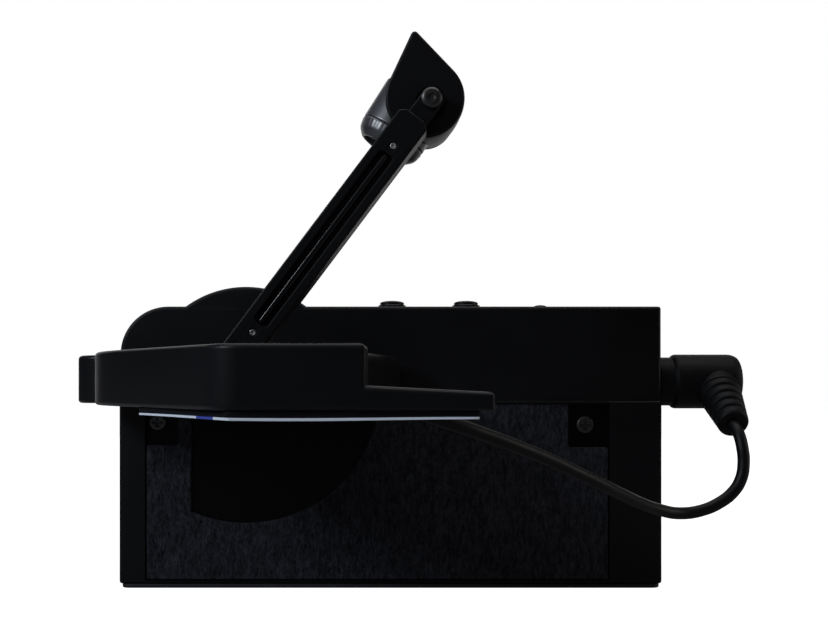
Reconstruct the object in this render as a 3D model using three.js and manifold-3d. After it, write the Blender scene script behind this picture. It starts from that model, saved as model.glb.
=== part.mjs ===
// Document camera for a classroom desk, as an assembly of separate pieces.
// Millimetres, +Z up. X runs to the right along the housing and Y away from the user.
// The origin is the centre of the rubber mat's underside, on which the housing stands.
//
// The upright housing carries a shallow deck on its front. A folding arm turns on a pin in
// the deck and lies down in a trough in it. The camera head tilts at the arm's far end.
import * as THREE from 'three';
import { mergeVertices } from 'three/addons/utils/BufferGeometryUtils.js';
import Module from 'manifold-3d';

const wasm = await Module();
wasm.setup();

// ---------------------------------------------------------------- driving dimensions

const GAP = 0.3;                      // clearance between neighbouring pieces
const WALL = 2;                       // wall of the moulded housing

const HOUSING = {
  halfWidth: 81.5, front: -25, back: 25, split: -2,
  foot: 1.3, top: 84.7, corner: 14.4,
  step: 0.8, bandBottom: 56.3,        // the upper band lies behind the lower front face
};
const HUMP = { x: -43.65, z: 59.9, radius: 30.75 };
const MAT = { halfWidth: 80, halfDepth: 23.5, thick: 1 };
const FELT = { left: -73.3, right: 65.4, bottom: 2.6, top: 55.5, depth: 1.6, thick: 1 };
const WINDOW = { left: -60, radius: 40.4 };       // smooth dark field within the felt
const PANEL_SCREWS = { left: [-70, 49.9], right: [58.5, 49] };
const NOTCHES = { left: { width: 9.5, bottom: 43 }, right: { width: 12, bottom: 42.3 } };
const POST = { radius: 3.6, end: 20.6, places: [[-74, 20], [74, 20], [74, 76], [-68, 70]] };
const REAR_BOSS = { radius: 5, length: 3.5, counterbore: 3.3, counterboreFrom: 22.6 };
const BALLAST = { halfWidth: 66, halfDepth: 20, bottom: 3.7, top: 10.2 };
const MAIN_BOARD = { halfWidth: 60, front: 8, thick: 1.6, bottom: 14, top: 78 };
const PORTS = { x: 40, z: 30, spacing: 16, halfWidth: 4.6, halfHeight: 1.7, round: 2.6 };
const PILOT = { small: 0.9, panel: 1.5, post: 1.6, bolt: 1.9 };   // screw hole radii

const BUTTONS = [
  { x: 0.2, radius: 4.4, proud: 2.6 },
  { x: 23.3, radius: 4.4, proud: 2.6 },
  { x: 46.5, radius: 3.15, proud: 1.35 },
];
const BUTTON_ROW_Y = -12;
const BUTTON_STEM = { radius: 1.4, bottom: 79.3, top: 83.2 };
const BUTTON_BOARD = { left: -6, right: 54, halfDepth: 6, bottom: 72.3, top: 73.6 };
const SWITCH = { size: 6, bottom: 73.9, top: 77.4, plunger: 78 };

const DECK = { front: -125, back: -27, bottom: 55.9, top: 69.4, wall: 1.8, lid: 2 };
const TONGUE = { left: -2.75, right: 22.85, back: -111, topLeft: 60.9, topRight: 59.6 };
const PAD = { thick: 0.85, sheet: 0.45, inset: 1.2 };
const DECK_BOLTS = [-60, -20];
const DECK_BOLT_Z = 62.5;
const LID_SCREWS = [[-32, -117], [-66, -68], [-12, -40]];
const LID_POST = { radius: 3, counterbore: 2.7, depth: 1.2 };
const BRACKET = { left: -76, right: -6, bottom: 57.2, top: 67.8 };
const BOLT_BOSS = { radius: 4, length: 10 };

const ARM = {
  pivot: new THREE.Vector3(-39.74, 0, 64), angle: 53.02, length: 85,
  front: -81, back: -74.5, plate: 1.5, halfWidth: 4.25,
  neckStart: 75, neckHalfWidth: 2.8, neckFront: -77.6,
};
const CHANNEL = { start: 13.6, end: 68.4, halfWidth: 2, depth: 1.6, ribHalfWidth: 0.65 };
const ARM_SCREWS = { lower: [10.4, 0], upper: [70.8, 0] };
const PIN_RADIUS = 2;
const WASHER = { radius: 3.6, thick: 0.35 };
const TROUGH = { left: -49, right: -11.6, front: -82, back: -73.6, floor: 59.3, wall: 1.8 };

const HEAD = {
  front: -74.2, back: -51, cheek: 2.7, round: 10,
  centre: [-1.58, 1.3], apex: [-4.21, 17.4], tip: 1,
};
const LENS = { end: [-12.23, -9], tilt: 57.4, y: -61.9, endRadius: 7.2, radius: 8.3 };

const PLUG = { y: -15, z: 62.1, pin: 2.75, collar: 7.45, body: 8.35, end: 108.7 };
const JACK = { left: 66.5, halfDepth: 5.5, halfHeight: 5, mouth: 3.6, pinFrom: 71 };
const RELIEF = {
  start: new THREE.Vector3(94, -15, 61.5), end: new THREE.Vector3(98.6, -38, 49.8),
  baseRadius: 6.2, endRadius: 4.3, ribs: 5,
};
const GLAND = { x: -11.5, y: -97.5, z: 60.9, slope: -12 };
const CORD_RADIUS = 1.7;
// Route of the cord from the plug's strain relief, down in a loop and up to the deck's gland.
const CORD_ROUTE = [
  [98.67, -38.27, 49.66], [99.1, -41.2, 47.4], [99.5, -43.3, 43.6], [99.6, -44.2, 38.8],
  [98.6, -44.7, 34.4], [96.2, -45.1, 30.9], [92.2, -45.6, 28], [86.8, -46.6, 26],
  [80.7, -48.2, 25.5], [74.2, -52, 26.9], [67.4, -58.2, 29.5], [61, -64.8, 32.6],
  [54.6, -71.2, 35.8], [47.6, -76.5, 39.2], [40.1, -81.9, 42.8], [32.2, -87.3, 46.1],
  [24.7, -92, 49], [17.6, -96, 51.6], [11.1, -98, 53.9], [5, -98.1, 56.3],
  [-1, -97.7, 58.3], [-6, -97.5, 59.7], [-11, -97.5, 60.8], [-15, -97.5, 61.6],
];

// ---------------------------------------------------------------- materials

function finish(color, roughness, metalness = 0) {
  return new THREE.MeshStandardMaterial({ color, roughness, metalness });
}

const FINISH = {
  housing: finish(0x17181c, 0.55),
  felt: finish(0x26262b, 0.95),
  rubber: finish(0x111214, 0.85),
  steel: finish(0x9a9da3, 0.35, 1),
  darkSteel: finish(0x2a2b2f, 0.4, 1),
  board: finish(0x1d4a30, 0.6),
  gloss: finish(0x0d0e10, 0.2),
  foam: finish(0x1a1a1d, 0.95),
  paper: finish(0xe9eef5, 0.6),
  glass: finish(0x16202c, 0.05),
};

// ---------------------------------------------------------------- solids

// A closed three.js geometry as a solid that can be joined and cut.
function solid(geometry) {
  const bare = geometry.clone();
  bare.deleteAttribute('normal');
  bare.deleteAttribute('uv');
  const merged = mergeVertices(bare, 1e-4);
  return new wasm.Manifold(new wasm.Mesh({
    numProp: 3,
    vertProperties: new Float32Array(merged.attributes.position.array),
    triVerts: new Uint32Array(merged.index.array),
  }));
}

function geometryOf(shape) {
  const { vertProperties, triVerts } = shape.getMesh();
  const geometry = new THREE.BufferGeometry();
  geometry.setAttribute('position', new THREE.BufferAttribute(vertProperties, 3));
  geometry.setIndex(new THREE.BufferAttribute(triVerts, 1));
  geometry.computeVertexNormals();
  return geometry;
}

function piece(name, shape, material) {
  const mesh = new THREE.Mesh(geometryOf(shape), material);
  mesh.name = name;
  return mesh;
}

function box(x0, x1, y0, y1, z0, z1) {
  const geometry = new THREE.BoxGeometry(x1 - x0, y1 - y0, z1 - z0);
  geometry.translate((x0 + x1) / 2, (y0 + y1) / 2, (z0 + z1) / 2);
  return solid(geometry);
}

const extruded = (shape, depth) =>
  new THREE.ExtrudeGeometry(shape, { depth, bevelEnabled: false, curveSegments: 14 });

// An outline in X and Y, drawn up from z0 to z1.
function upright(shape, z0, z1) {
  return solid(extruded(shape, z1 - z0).translate(0, 0, z0));
}

// An outline in X and Z, drawn back from y0 to y1.
function frontal(shape, y0, y1) {
  return solid(extruded(shape, y1 - y0).rotateX(Math.PI / 2).translate(0, y1, 0));
}

// A round solid about the line through `from` along `direction`; profile holds [radius, t].
function turned(profile, from, direction, segments = 18) {
  const points = profile.map(([radius, t]) => new THREE.Vector2(radius, t));
  const geometry = new THREE.LatheGeometry(points, segments);
  const turn = new THREE.Quaternion().setFromUnitVectors(
    new THREE.Vector3(0, 1, 0), direction.clone().normalize());
  return solid(geometry.applyQuaternion(turn).translate(from.x, from.y, from.z));
}

const AXIS_X = new THREE.Vector3(1, 0, 0);
const AXIS_Y = new THREE.Vector3(0, 1, 0);
const AXIS_Z = new THREE.Vector3(0, 0, 1);
const at = (x, y, z) => new THREE.Vector3(x, y, z);
const rod = (radius, from, direction, length, segments) =>
  turned([[0, 0], [radius, 0], [radius, length], [0, length]], from, direction, segments);
const ring = (outer, inner, from, direction, length, segments) =>
  turned([[inner, 0], [outer, 0], [outer, length], [inner, length], [inner, 0]],
    from, direction, segments);

// A screw whose head has a bevelled rim: the head's top at `from`, the shank along `direction`.
function screw(head, headHeight, shank, length, from, direction) {
  return turned([[0, 0], [head * 0.7, 0], [head, headHeight * 0.4], [head, headHeight],
    [shank, headHeight], [shank, length], [0, length]], from, direction, 18);
}

// ---------------------------------------------------------------- outlines

// The same outline moved inwards by a distance, corners mitred.
function inset(shape, distance) {
  const points = shape.getPoints(14);
  if (points[0].distanceTo(points.at(-1)) < 1e-6) points.pop();
  const moved = points.map((point, i) => {
    const before = points.at(i - 1);
    const after = points[(i + 1) % points.length];
    const a = point.clone().sub(before).normalize();
    const b = after.clone().sub(point).normalize();
    const left = new THREE.Vector2(-a.y - b.y, a.x + b.x);
    return point.clone().addScaledVector(left, distance / (1 + a.dot(b)));
  });
  return new THREE.Shape(moved);
}

function rectangle(x0, x1, y0, y1) {
  return new THREE.Shape([[x0, y0], [x1, y0], [x1, y1], [x0, y1]]
    .map(([x, y]) => new THREE.Vector2(x, y)));
}

// Front view of the housing: a large corner at the top left, then the round hump.
function housingOutline() {
  const { halfWidth, foot, top, corner } = HOUSING;
  const start = Math.asin((top - HUMP.z) / HUMP.radius);
  const shape = new THREE.Shape();
  shape.moveTo(-halfWidth, foot);
  shape.lineTo(halfWidth, foot);
  shape.lineTo(halfWidth, top);
  shape.absarc(HUMP.x, HUMP.z, HUMP.radius, start, Math.PI - start, false);
  shape.absarc(-halfWidth + corner, top - corner, corner, Math.PI / 2, Math.PI, false);
  return shape;
}

// Plan of the deck: a straight front, a diagonal left side and two round lobes.
function deckOutline() {
  const { front, back } = DECK;
  const lobe = 9;
  const shape = new THREE.Shape();
  shape.moveTo(-28, front);
  shape.lineTo(TONGUE.left, front);
  shape.lineTo(TONGUE.left, TONGUE.back);
  shape.lineTo(-14, TONGUE.back);
  shape.lineTo(1, back);
  shape.absarc(-80.4, back - lobe, lobe, Math.PI / 2, Math.PI * 5 / 3, false);
  shape.lineTo(-76.5, -58);
  shape.bezierCurveTo(-76.5, -70, -70, -79.5, -62.5, -88.4);
  shape.lineTo(-36, -120.6);
  shape.quadraticCurveTo(-32.6, front, -28, front);
  return shape;
}

// Side view of the head about its tilt axis: a circle with a point at the top, moved
// inwards by `shrink`. Once the tip's own rounding is used up, the point is sharp.
function headOutline(shrink = 0) {
  const [cx, cz] = HEAD.centre;
  const [ax, az] = HEAD.apex;
  const lean = Math.atan2(az - cz, ax - cx);
  const fullReach = Math.hypot(ax - cx, az - cz) - HEAD.tip;
  const flare = Math.asin((HEAD.round - HEAD.tip) / fullReach);
  const tip = Math.max(HEAD.tip - shrink, 0);
  const round = HEAD.round - shrink;
  const reach = (round - tip) / Math.sin(flare);
  const spread = Math.PI / 2 - flare;
  const tipX = cx + reach * Math.cos(lean);
  const tipZ = cz + reach * Math.sin(lean);
  const shape = new THREE.Shape();
  shape.absarc(cx, cz, round, lean + spread, lean - spread + 2 * Math.PI, false);
  if (tip > 0) shape.absarc(tipX, tipZ, tip, lean - spread, lean + spread, false);
  else shape.lineTo(tipX, tipZ);
  return shape;
}

// ---------------------------------------------------------------- housing

const right = HOUSING.halfWidth;
const bandFront = HOUSING.front + HOUSING.step;
const recessFloor = HOUSING.front + FELT.depth;
const frontInner = recessFloor + WALL;
const rearInner = HOUSING.back - WALL;
const cornerPosts = POST.places.map(([x, z]) => ({ x, z }));

function frontShell() {
  const outline = housingOutline();
  let shell = frontal(outline, bandFront, HOUSING.split);
  shell = shell.add(box(-right, right, HOUSING.front, bandFront + 1,
    HOUSING.foot, HOUSING.bandBottom));
  shell = shell.subtract(frontal(inset(outline, WALL), frontInner, HOUSING.split + 1));
  shell = shell.subtract(box(FELT.left - GAP, FELT.right + GAP, HOUSING.front - 1, recessFloor,
    FELT.bottom - GAP, FELT.top + GAP));
  for (const { x, z } of cornerPosts) {
    shell = shell.add(rod(POST.radius, at(x, frontInner - 1, z), AXIS_Y,
      POST.end - frontInner + 1, 16));
    shell = shell.subtract(rod(PILOT.post, at(x, 8, z), AXIS_Y, 20, 12));
  }
  for (const x of DECK_BOLTS) {
    shell = shell.add(rod(BOLT_BOSS.radius, at(x, frontInner - 1, DECK_BOLT_Z), AXIS_Y,
      BOLT_BOSS.length, 16));
    shell = shell.subtract(rod(PILOT.bolt, at(x, HOUSING.front, DECK_BOLT_Z), AXIS_Y,
      BOLT_BOSS.length + 1, 12));
  }
  for (const [x, z] of Object.values(PANEL_SCREWS)) {
    shell = shell.subtract(rod(PILOT.panel, at(x, recessFloor - 1, z), AXIS_Y, 4, 12));
  }
  for (const button of BUTTONS) {
    shell = shell.subtract(rod(button.radius - 1, at(button.x, BUTTON_ROW_Y, HOUSING.top - 4),
      AXIS_Z, 6, 18));
  }
  return shell.subtract(rod(JACK.mouth, at(right - 4, PLUG.y, PLUG.z), AXIS_X, 6, 20));
}

function rearCover() {
  const outline = housingOutline();
  let cover = frontal(outline, HOUSING.split + GAP, HOUSING.back);
  cover = cover.subtract(frontal(inset(outline, WALL), HOUSING.split - 1, rearInner));
  for (const { x, z } of cornerPosts) {
    cover = cover.add(rod(REAR_BOSS.radius, at(x, POST.end + 0.4, z), AXIS_Y,
      REAR_BOSS.length, 18));
    cover = cover.subtract(rod(PILOT.post, at(x, POST.end - 0.6, z), AXIS_Y, 6, 12));
    cover = cover.subtract(rod(REAR_BOSS.counterbore, at(x, REAR_BOSS.counterboreFrom, z),
      AXIS_Y, 4, 18));
  }
  cover = cover.intersect(frontal(outline, HOUSING.split + GAP, HOUSING.back));
  const usb = rectangle(PORTS.x - PORTS.halfWidth - GAP, PORTS.x + PORTS.halfWidth + GAP,
    PORTS.z - PORTS.halfHeight - GAP, PORTS.z + PORTS.halfHeight + GAP);
  cover = cover.subtract(frontal(usb, rearInner - 1, HOUSING.back + 1));
  return cover.subtract(rod(PORTS.round + GAP,
    at(PORTS.x + PORTS.spacing, rearInner - 1, PORTS.z), AXIS_Y, 5, 18));
}

function dataPort() {
  const outer = rectangle(PORTS.x - PORTS.halfWidth, PORTS.x + PORTS.halfWidth,
    PORTS.z - PORTS.halfHeight, PORTS.z + PORTS.halfHeight);
  const body = frontal(outer, 15, HOUSING.back - 0.2);
  return body.subtract(frontal(inset(outer, 0.4), 18, HOUSING.back + 1));
}

function powerPort() {
  const x = PORTS.x + PORTS.spacing;
  const body = rod(PORTS.round, at(x, 14, PORTS.z), AXIS_Y, 10.8, 18);
  return body.subtract(rod(1.7, at(x, 17, PORTS.z), AXIS_Y, 10, 18));
}

// Felt sheet with both top corners cut away for the screws and a D-shaped window.
function feltPanel() {
  let felt = frontal(rectangle(FELT.left, FELT.right, FELT.bottom, FELT.top),
    recessFloor - GAP - FELT.thick, recessFloor - GAP);
  const y0 = recessFloor - 3;
  const y1 = recessFloor + 1;
  const above = FELT.top + 1;
  felt = felt.subtract(box(FELT.right - NOTCHES.right.width, FELT.right + 1, y0, y1,
    NOTCHES.right.bottom, above));
  felt = felt.subtract(box(FELT.left - 1, FELT.left + NOTCHES.left.width, y0, y1,
    NOTCHES.left.bottom, above));
  const disc = rod(WINDOW.radius, at(HUMP.x, y0, HUMP.z), AXIS_Y, 5, 72);
  return felt.subtract(disc.intersect(box(WINDOW.left, 60, y0, y1, 0, 60)));
}

function housingPieces() {
  const group = new THREE.Group();
  group.add(piece('front_shell', frontShell(), FINISH.housing));
  group.add(piece('rear_cover', rearCover(), FINISH.housing));
  group.add(piece('felt_panel', feltPanel(), FINISH.felt));
  group.add(piece('base_mat', box(-MAT.halfWidth, MAT.halfWidth, -MAT.halfDepth,
    MAT.halfDepth, 0, MAT.thick), FINISH.rubber));
  group.add(piece('ballast_plate', box(-BALLAST.halfWidth, BALLAST.halfWidth,
    -BALLAST.halfDepth, BALLAST.halfDepth, BALLAST.bottom, BALLAST.top), FINISH.steel));
  group.add(piece('main_board', box(-MAIN_BOARD.halfWidth, MAIN_BOARD.halfWidth,
    MAIN_BOARD.front, MAIN_BOARD.front + MAIN_BOARD.thick, MAIN_BOARD.bottom,
    MAIN_BOARD.top), FINISH.board));
  group.add(piece('data_port', dataPort(), FINISH.steel));
  group.add(piece('power_port', powerPort(), FINISH.gloss));
  for (const [side, [x, z]] of Object.entries(PANEL_SCREWS)) {
    group.add(piece(`panel_screw_${side}`,
      screw(2.6, 1, 1.2, 6, at(x, recessFloor - GAP - 1, z), AXIS_Y), FINISH.steel));
  }
  cornerPosts.forEach(({ x, z }, i) => {
    group.add(piece(`rear_screw_${i + 1}`,
      screw(2.8, 1.6, 1.25, 13, at(x, 24.6, z), AXIS_Y.clone().negate()), FINISH.darkSteel));
  });
  return group;
}

// ---------------------------------------------------------------- buttons

function buttonPieces() {
  const group = new THREE.Group();
  group.add(piece('button_board', box(BUTTON_BOARD.left, BUTTON_BOARD.right,
    BUTTON_ROW_Y - BUTTON_BOARD.halfDepth, BUTTON_ROW_Y + BUTTON_BOARD.halfDepth,
    BUTTON_BOARD.bottom, BUTTON_BOARD.top), FINISH.board));
  BUTTONS.forEach(({ x, radius, proud }, i) => {
    const base = at(x, BUTTON_ROW_Y, 0);
    const bezelHeight = proud * 0.45;
    const bezel = turned([[radius - 1, 0], [radius, 0], [radius, bezelHeight * 0.5],
      [radius - 0.4, bezelHeight], [radius - 1, bezelHeight], [radius - 1, 0]],
    at(x, BUTTON_ROW_Y, HOUSING.top + GAP), AXIS_Z);
    const capRadius = radius - 1.3;
    const top = HOUSING.top + proud;
    const stem = BUTTON_STEM;
    const cap = turned([[0, stem.bottom], [stem.radius, stem.bottom],
      [stem.radius, stem.top], [capRadius, stem.top],
      [capRadius, top - 0.5], [capRadius * 0.75, top - 0.1], [0, top]], base, AXIS_Z);
    const half = SWITCH.size / 2;
    const body = box(x - half, x + half, BUTTON_ROW_Y - half, BUTTON_ROW_Y + half,
      SWITCH.bottom, SWITCH.top);
    const plunger = rod(1.6, at(x, BUTTON_ROW_Y, SWITCH.top - 1), AXIS_Z,
      SWITCH.plunger - SWITCH.top + 1, 16);
    group.add(piece(`button_bezel_${i + 1}`, bezel, FINISH.gloss));
    group.add(piece(`button_cap_${i + 1}`, cap, FINISH.rubber));
    group.add(piece(`tact_switch_${i + 1}`, body.add(plunger), FINISH.darkSteel));
  });
  return group;
}

// ---------------------------------------------------------------- deck

function deckTray() {
  const outline = deckOutline();
  const { front, back, bottom, top, wall } = DECK;
  let tray = upright(outline, bottom, top);
  tray = tray.subtract(upright(inset(outline, wall), bottom + wall, top + 1));
  for (const [x, y] of LID_SCREWS) {
    tray = tray.add(rod(LID_POST.radius, at(x, y, bottom + 1), AXIS_Z,
      top - DECK.lid - GAP - bottom - 1, 16));
    tray = tray.subtract(rod(PILOT.panel, at(x, y, bottom + 3), AXIS_Z, 20, 12));
  }
  const tongue = new THREE.Shape([[TONGUE.left - 1, bottom], [TONGUE.right, bottom],
    [TONGUE.right, TONGUE.topRight], [TONGUE.left - 1, TONGUE.topLeft]]
    .map(([x, z]) => new THREE.Vector2(x, z)));
  tray = tray.add(frontal(tongue, front, TONGUE.back));
  tray = tray.subtract(box(-16, 4, TROUGH.front - GAP, TROUGH.back + GAP, TROUGH.floor, top + 1));
  for (const x of DECK_BOLTS) {
    tray = tray.subtract(rod(PILOT.bolt, at(x, back - 4, DECK_BOLT_Z), AXIS_Y, 6, 12));
  }
  return tray.subtract(rod(2.9, at(GLAND.x - 4, GLAND.y, GLAND.z + 0.8), glandAxis, 9, 16));
}

const slopeAngle = THREE.MathUtils.degToRad(GLAND.slope);
const glandAxis = new THREE.Vector3(Math.cos(slopeAngle), 0, Math.sin(slopeAngle));

// Lid set inside the tray's rim, slotted where the arm stands and lies down.
function deckCover() {
  const { top, lid, wall } = DECK;
  let cover = upright(inset(deckOutline(), wall + GAP), top - lid, top);
  cover = cover.subtract(box(TROUGH.left + 1.4, 20, TROUGH.front - GAP, TROUGH.back + GAP,
    top - lid - 1, top + 1));
  for (const [x, y] of LID_SCREWS) {
    cover = cover.subtract(rod(PILOT.panel, at(x, y, top - lid - 1), AXIS_Z, 4, 12));
    cover = cover.subtract(rod(LID_POST.counterbore, at(x, y, top - LID_POST.depth), AXIS_Z,
      3, 18));
  }
  return cover;
}

// U-shaped liner that holds the arm's pin and takes the folded arm.
function armCradle() {
  const { left, front, back, floor, wall } = TROUGH;
  const trayFloor = DECK.bottom + DECK.wall + GAP;
  let cradle = box(left, TROUGH.right, front - wall, back + wall, trayFloor,
    DECK.top - DECK.lid - GAP);
  cradle = cradle.subtract(box(left + 1.4, 0, front, back, floor, DECK.top));
  return cradle.subtract(rod(PIN_RADIUS + GAP,
    at(ARM.pivot.x, front - 5, ARM.pivot.z), AXIS_Y, 20, 20));
}

// Plan of the pad and sheet under the deck's front edge.
function padOutline() {
  const { front } = DECK;
  const i = PAD.inset;
  return new THREE.Shape([[-56.4, front + 30.6], [-30.5, front + i], [20.3, front + i],
    [20.3, TONGUE.back - i], [-13, TONGUE.back - i], [-19, front + 33], [-56.4, front + 33]]
    .map(([x, y]) => new THREE.Vector2(x, y)));
}

function deckGland() {
  const from = at(GLAND.x, GLAND.y, GLAND.z);
  const bore = CORD_RADIUS + GAP;
  return turned([[bore, -4], [2.5, -4], [2.5, 1.4], [3.7, 1.4], [3.7, 2.6], [2.6, 5.6],
    [bore, 5.6], [bore, -4]], from, glandAxis, 16);
}

function deckPieces() {
  const group = new THREE.Group();
  const { bottom, top, lid, back, wall } = DECK;
  group.add(piece('deck_tray', deckTray(), FINISH.housing));
  group.add(piece('deck_cover', deckCover(), FINISH.housing));
  group.add(piece('arm_cradle', armCradle(), FINISH.darkSteel));
  const pad = padOutline();
  const padTop = bottom - GAP;
  const sheetTop = padTop - PAD.thick - GAP;
  group.add(piece('foam_pad', upright(pad, padTop - PAD.thick, padTop), FINISH.foam));
  group.add(piece('backing_sheet', upright(pad, sheetTop - PAD.sheet, sheetTop), FINISH.paper));
  group.add(piece('deck_gland', deckGland(), FINISH.rubber));
  LID_SCREWS.forEach(([x, y], i) => {
    group.add(piece(`lid_screw_${i + 1}`,
      screw(2.3, 0.9, 1.2, 8, at(x, y, top), AXIS_Z.clone().negate()), FINISH.darkSteel));
  });
  let bracket = box(BRACKET.left, BRACKET.right, back + GAP, bandFront - GAP,
    BRACKET.bottom, BRACKET.top);
  for (const x of DECK_BOLTS) {
    bracket = bracket.subtract(rod(PILOT.bolt, at(x, back - 1, DECK_BOLT_Z), AXIS_Y, 6, 12));
  }
  group.add(piece('deck_bracket', bracket, FINISH.darkSteel));
  DECK_BOLTS.forEach((x, i) => {
    group.add(piece(`deck_bolt_${i + 1}`,
      screw(3, 2.2, 1.6, 17, at(x, back - wall - GAP - 2.2, DECK_BOLT_Z), AXIS_Y),
      FINISH.steel));
  });
  const pinFrom = at(ARM.pivot.x, TROUGH.front - TROUGH.wall - 0.5, ARM.pivot.z);
  const pinLength = TROUGH.back - TROUGH.front + 2 * TROUGH.wall + 1;
  group.add(piece('arm_pivot_pin', rod(PIN_RADIUS, pinFrom, AXIS_Y, pinLength, 24),
    FINISH.steel));
  const washerPlaces = { front: ARM.front - GAP - WASHER.thick - 0.05, rear: ARM.back + GAP };
  for (const [side, y] of Object.entries(washerPlaces)) {
    group.add(piece(`pivot_washer_${side}`, ring(WASHER.radius, PIN_RADIUS + GAP,
      at(ARM.pivot.x, y, ARM.pivot.z), AXIS_Y, WASHER.thick, 16), FINISH.steel));
  }
  return group;
}

// ---------------------------------------------------------------- arm

// The arm lies along its own X axis, from the fold pin at 0 to the tilt pin at its length.
function armOutline() {
  const { length, halfWidth, neckStart, neckHalfWidth } = ARM;
  const shape = new THREE.Shape();
  shape.absarc(0, 0, halfWidth, Math.PI / 2, Math.PI * 1.5, false);
  shape.lineTo(neckStart - 3, -halfWidth);
  shape.lineTo(neckStart, -neckHalfWidth);
  shape.absarc(length, 0, neckHalfWidth, -Math.PI / 2, Math.PI / 2, false);
  shape.lineTo(neckStart, neckHalfWidth);
  shape.lineTo(neckStart - 3, halfWidth);
  return shape;
}

function armPieces() {
  const { front, back, plate, length, neckStart, neckFront } = ARM;
  const group = new THREE.Group();
  const outline = armOutline();
  const seam = back - plate;
  const holes = (shape) => {
    let cut = shape.subtract(rod(PIN_RADIUS + GAP, at(0, front - 1, 0), AXIS_Y, 10, 20));
    cut = cut.subtract(rod(1.8, at(length, front - 1, 0), AXIS_Y, 10, 20));
    for (const [x, z] of Object.values(ARM_SCREWS)) {
      cut = cut.subtract(rod(PILOT.small, at(x, front - 1, z), AXIS_Y, 10, 10));
      cut = cut.subtract(rod(1.4, at(x, front - 1, z), AXIS_Y, 2, 14));
    }
    return cut;
  };
  let spar = frontal(outline, front, seam - GAP);
  spar = spar.subtract(box(neckStart, length + 9, front - 1, neckFront, -9, 9));
  spar = spar.subtract(box(CHANNEL.start, CHANNEL.end, front - 1, front + CHANNEL.depth,
    -CHANNEL.halfWidth, CHANNEL.halfWidth));
  group.add(piece('arm_spar', holes(spar), FINISH.housing));
  group.add(piece('arm_back_plate', holes(frontal(outline, seam, back)), FINISH.darkSteel));
  group.add(piece('arm_rib', box(CHANNEL.start + GAP, CHANNEL.end - GAP, front + 0.3,
    front + CHANNEL.depth - GAP, -CHANNEL.ribHalfWidth, CHANNEL.ribHalfWidth), FINISH.gloss));
  for (const [end, [x, z]] of Object.entries(ARM_SCREWS)) {
    group.add(piece(`arm_screw_${end}`,
      screw(1.1, 0.6, 0.6, 5.8, at(x, front + 0.1, z), AXIS_Y), FINISH.steel));
  }
  const cap = 2.6;
  const pin = turned([[0, 0], [cap * 0.8, 0], [cap, 0.4], [cap, 1], [1.5, 1], [1.5, 7],
    [0, 7]], at(length, neckFront - 1.3, 0), AXIS_Y, 18);
  group.add(piece('tilt_pin', pin, FINISH.darkSteel));
  group.position.copy(ARM.pivot);
  group.rotation.y = -THREE.MathUtils.degToRad(ARM.angle);
  return group;
}

// ---------------------------------------------------------------- head

const foldAngle = THREE.MathUtils.degToRad(ARM.angle);
const tiltAxis = new THREE.Vector3(ARM.pivot.x + ARM.length * Math.cos(foldAngle), 0,
  ARM.pivot.z + ARM.length * Math.sin(foldAngle));
const lensTilt = THREE.MathUtils.degToRad(LENS.tilt);
const lensUp = new THREE.Vector3(Math.cos(lensTilt), 0, Math.sin(lensTilt));
const lensEnd = at(LENS.end[0], LENS.y, LENS.end[1]);

function headHousing() {
  const outline = headOutline();
  const front = HEAD.front + HEAD.cheek + GAP;
  const back = HEAD.back - 1.6 - GAP;
  let body = frontal(outline, front, back);
  body = body.subtract(rod(LENS.radius + GAP, lensEnd.clone().addScaledVector(lensUp, -2),
    lensUp, 18.6, 28));
  const cavity = frontal(headOutline(1.6), front + 1.6, back + 1);
  const upper = box(-20, 20, -90, -40, 5.4, 30);
  return body.subtract(cavity.intersect(upper));
}

function lensBarrel() {
  const bore = 4.2;
  return turned([[0, 12], [bore, 12], [bore, 0.9], [5.9, 0.9], [5.9, 4.6], [7.8, 4.6],
    [LENS.radius, 8], [LENS.radius, 16.2], [0, 16.2]], lensEnd, lensUp, 28);
}

function headPieces() {
  const group = new THREE.Group();
  const outline = headOutline();
  let cheek = frontal(outline, HEAD.front, HEAD.front + HEAD.cheek);
  cheek = cheek.subtract(rod(1.8, at(0, HEAD.front - 1, 0), AXIS_Y, 6, 20));
  group.add(piece('head_cheek', cheek, FINISH.housing));
  group.add(piece('head_housing', headHousing(), FINISH.housing));
  group.add(piece('head_back_cover', frontal(outline, HEAD.back - 1.6, HEAD.back),
    FINISH.housing));
  group.add(piece('lens_barrel', lensBarrel(), FINISH.gloss));
  group.add(piece('focus_ring', turned([[6.2, 0], [LENS.endRadius - 0.5, 0],
    [LENS.endRadius, 0.5], [7.7, 4.3], [6.2, 4.3], [6.2, 0]], lensEnd, lensUp, 28),
  FINISH.rubber));
  group.add(piece('lens_glass', turned([[0, 1.2], [2.6, 1.5], [3.9, 2.2], [3.9, 3.4],
    [0, 3.4]], lensEnd, lensUp, 20), FINISH.glass));
  group.add(piece('sensor_board', box(-6.2, 0.6, -68, -56, 9.3, 10.3), FINISH.board));
  group.position.copy(tiltAxis);
  return group;
}

// ---------------------------------------------------------------- plug and cord

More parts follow.
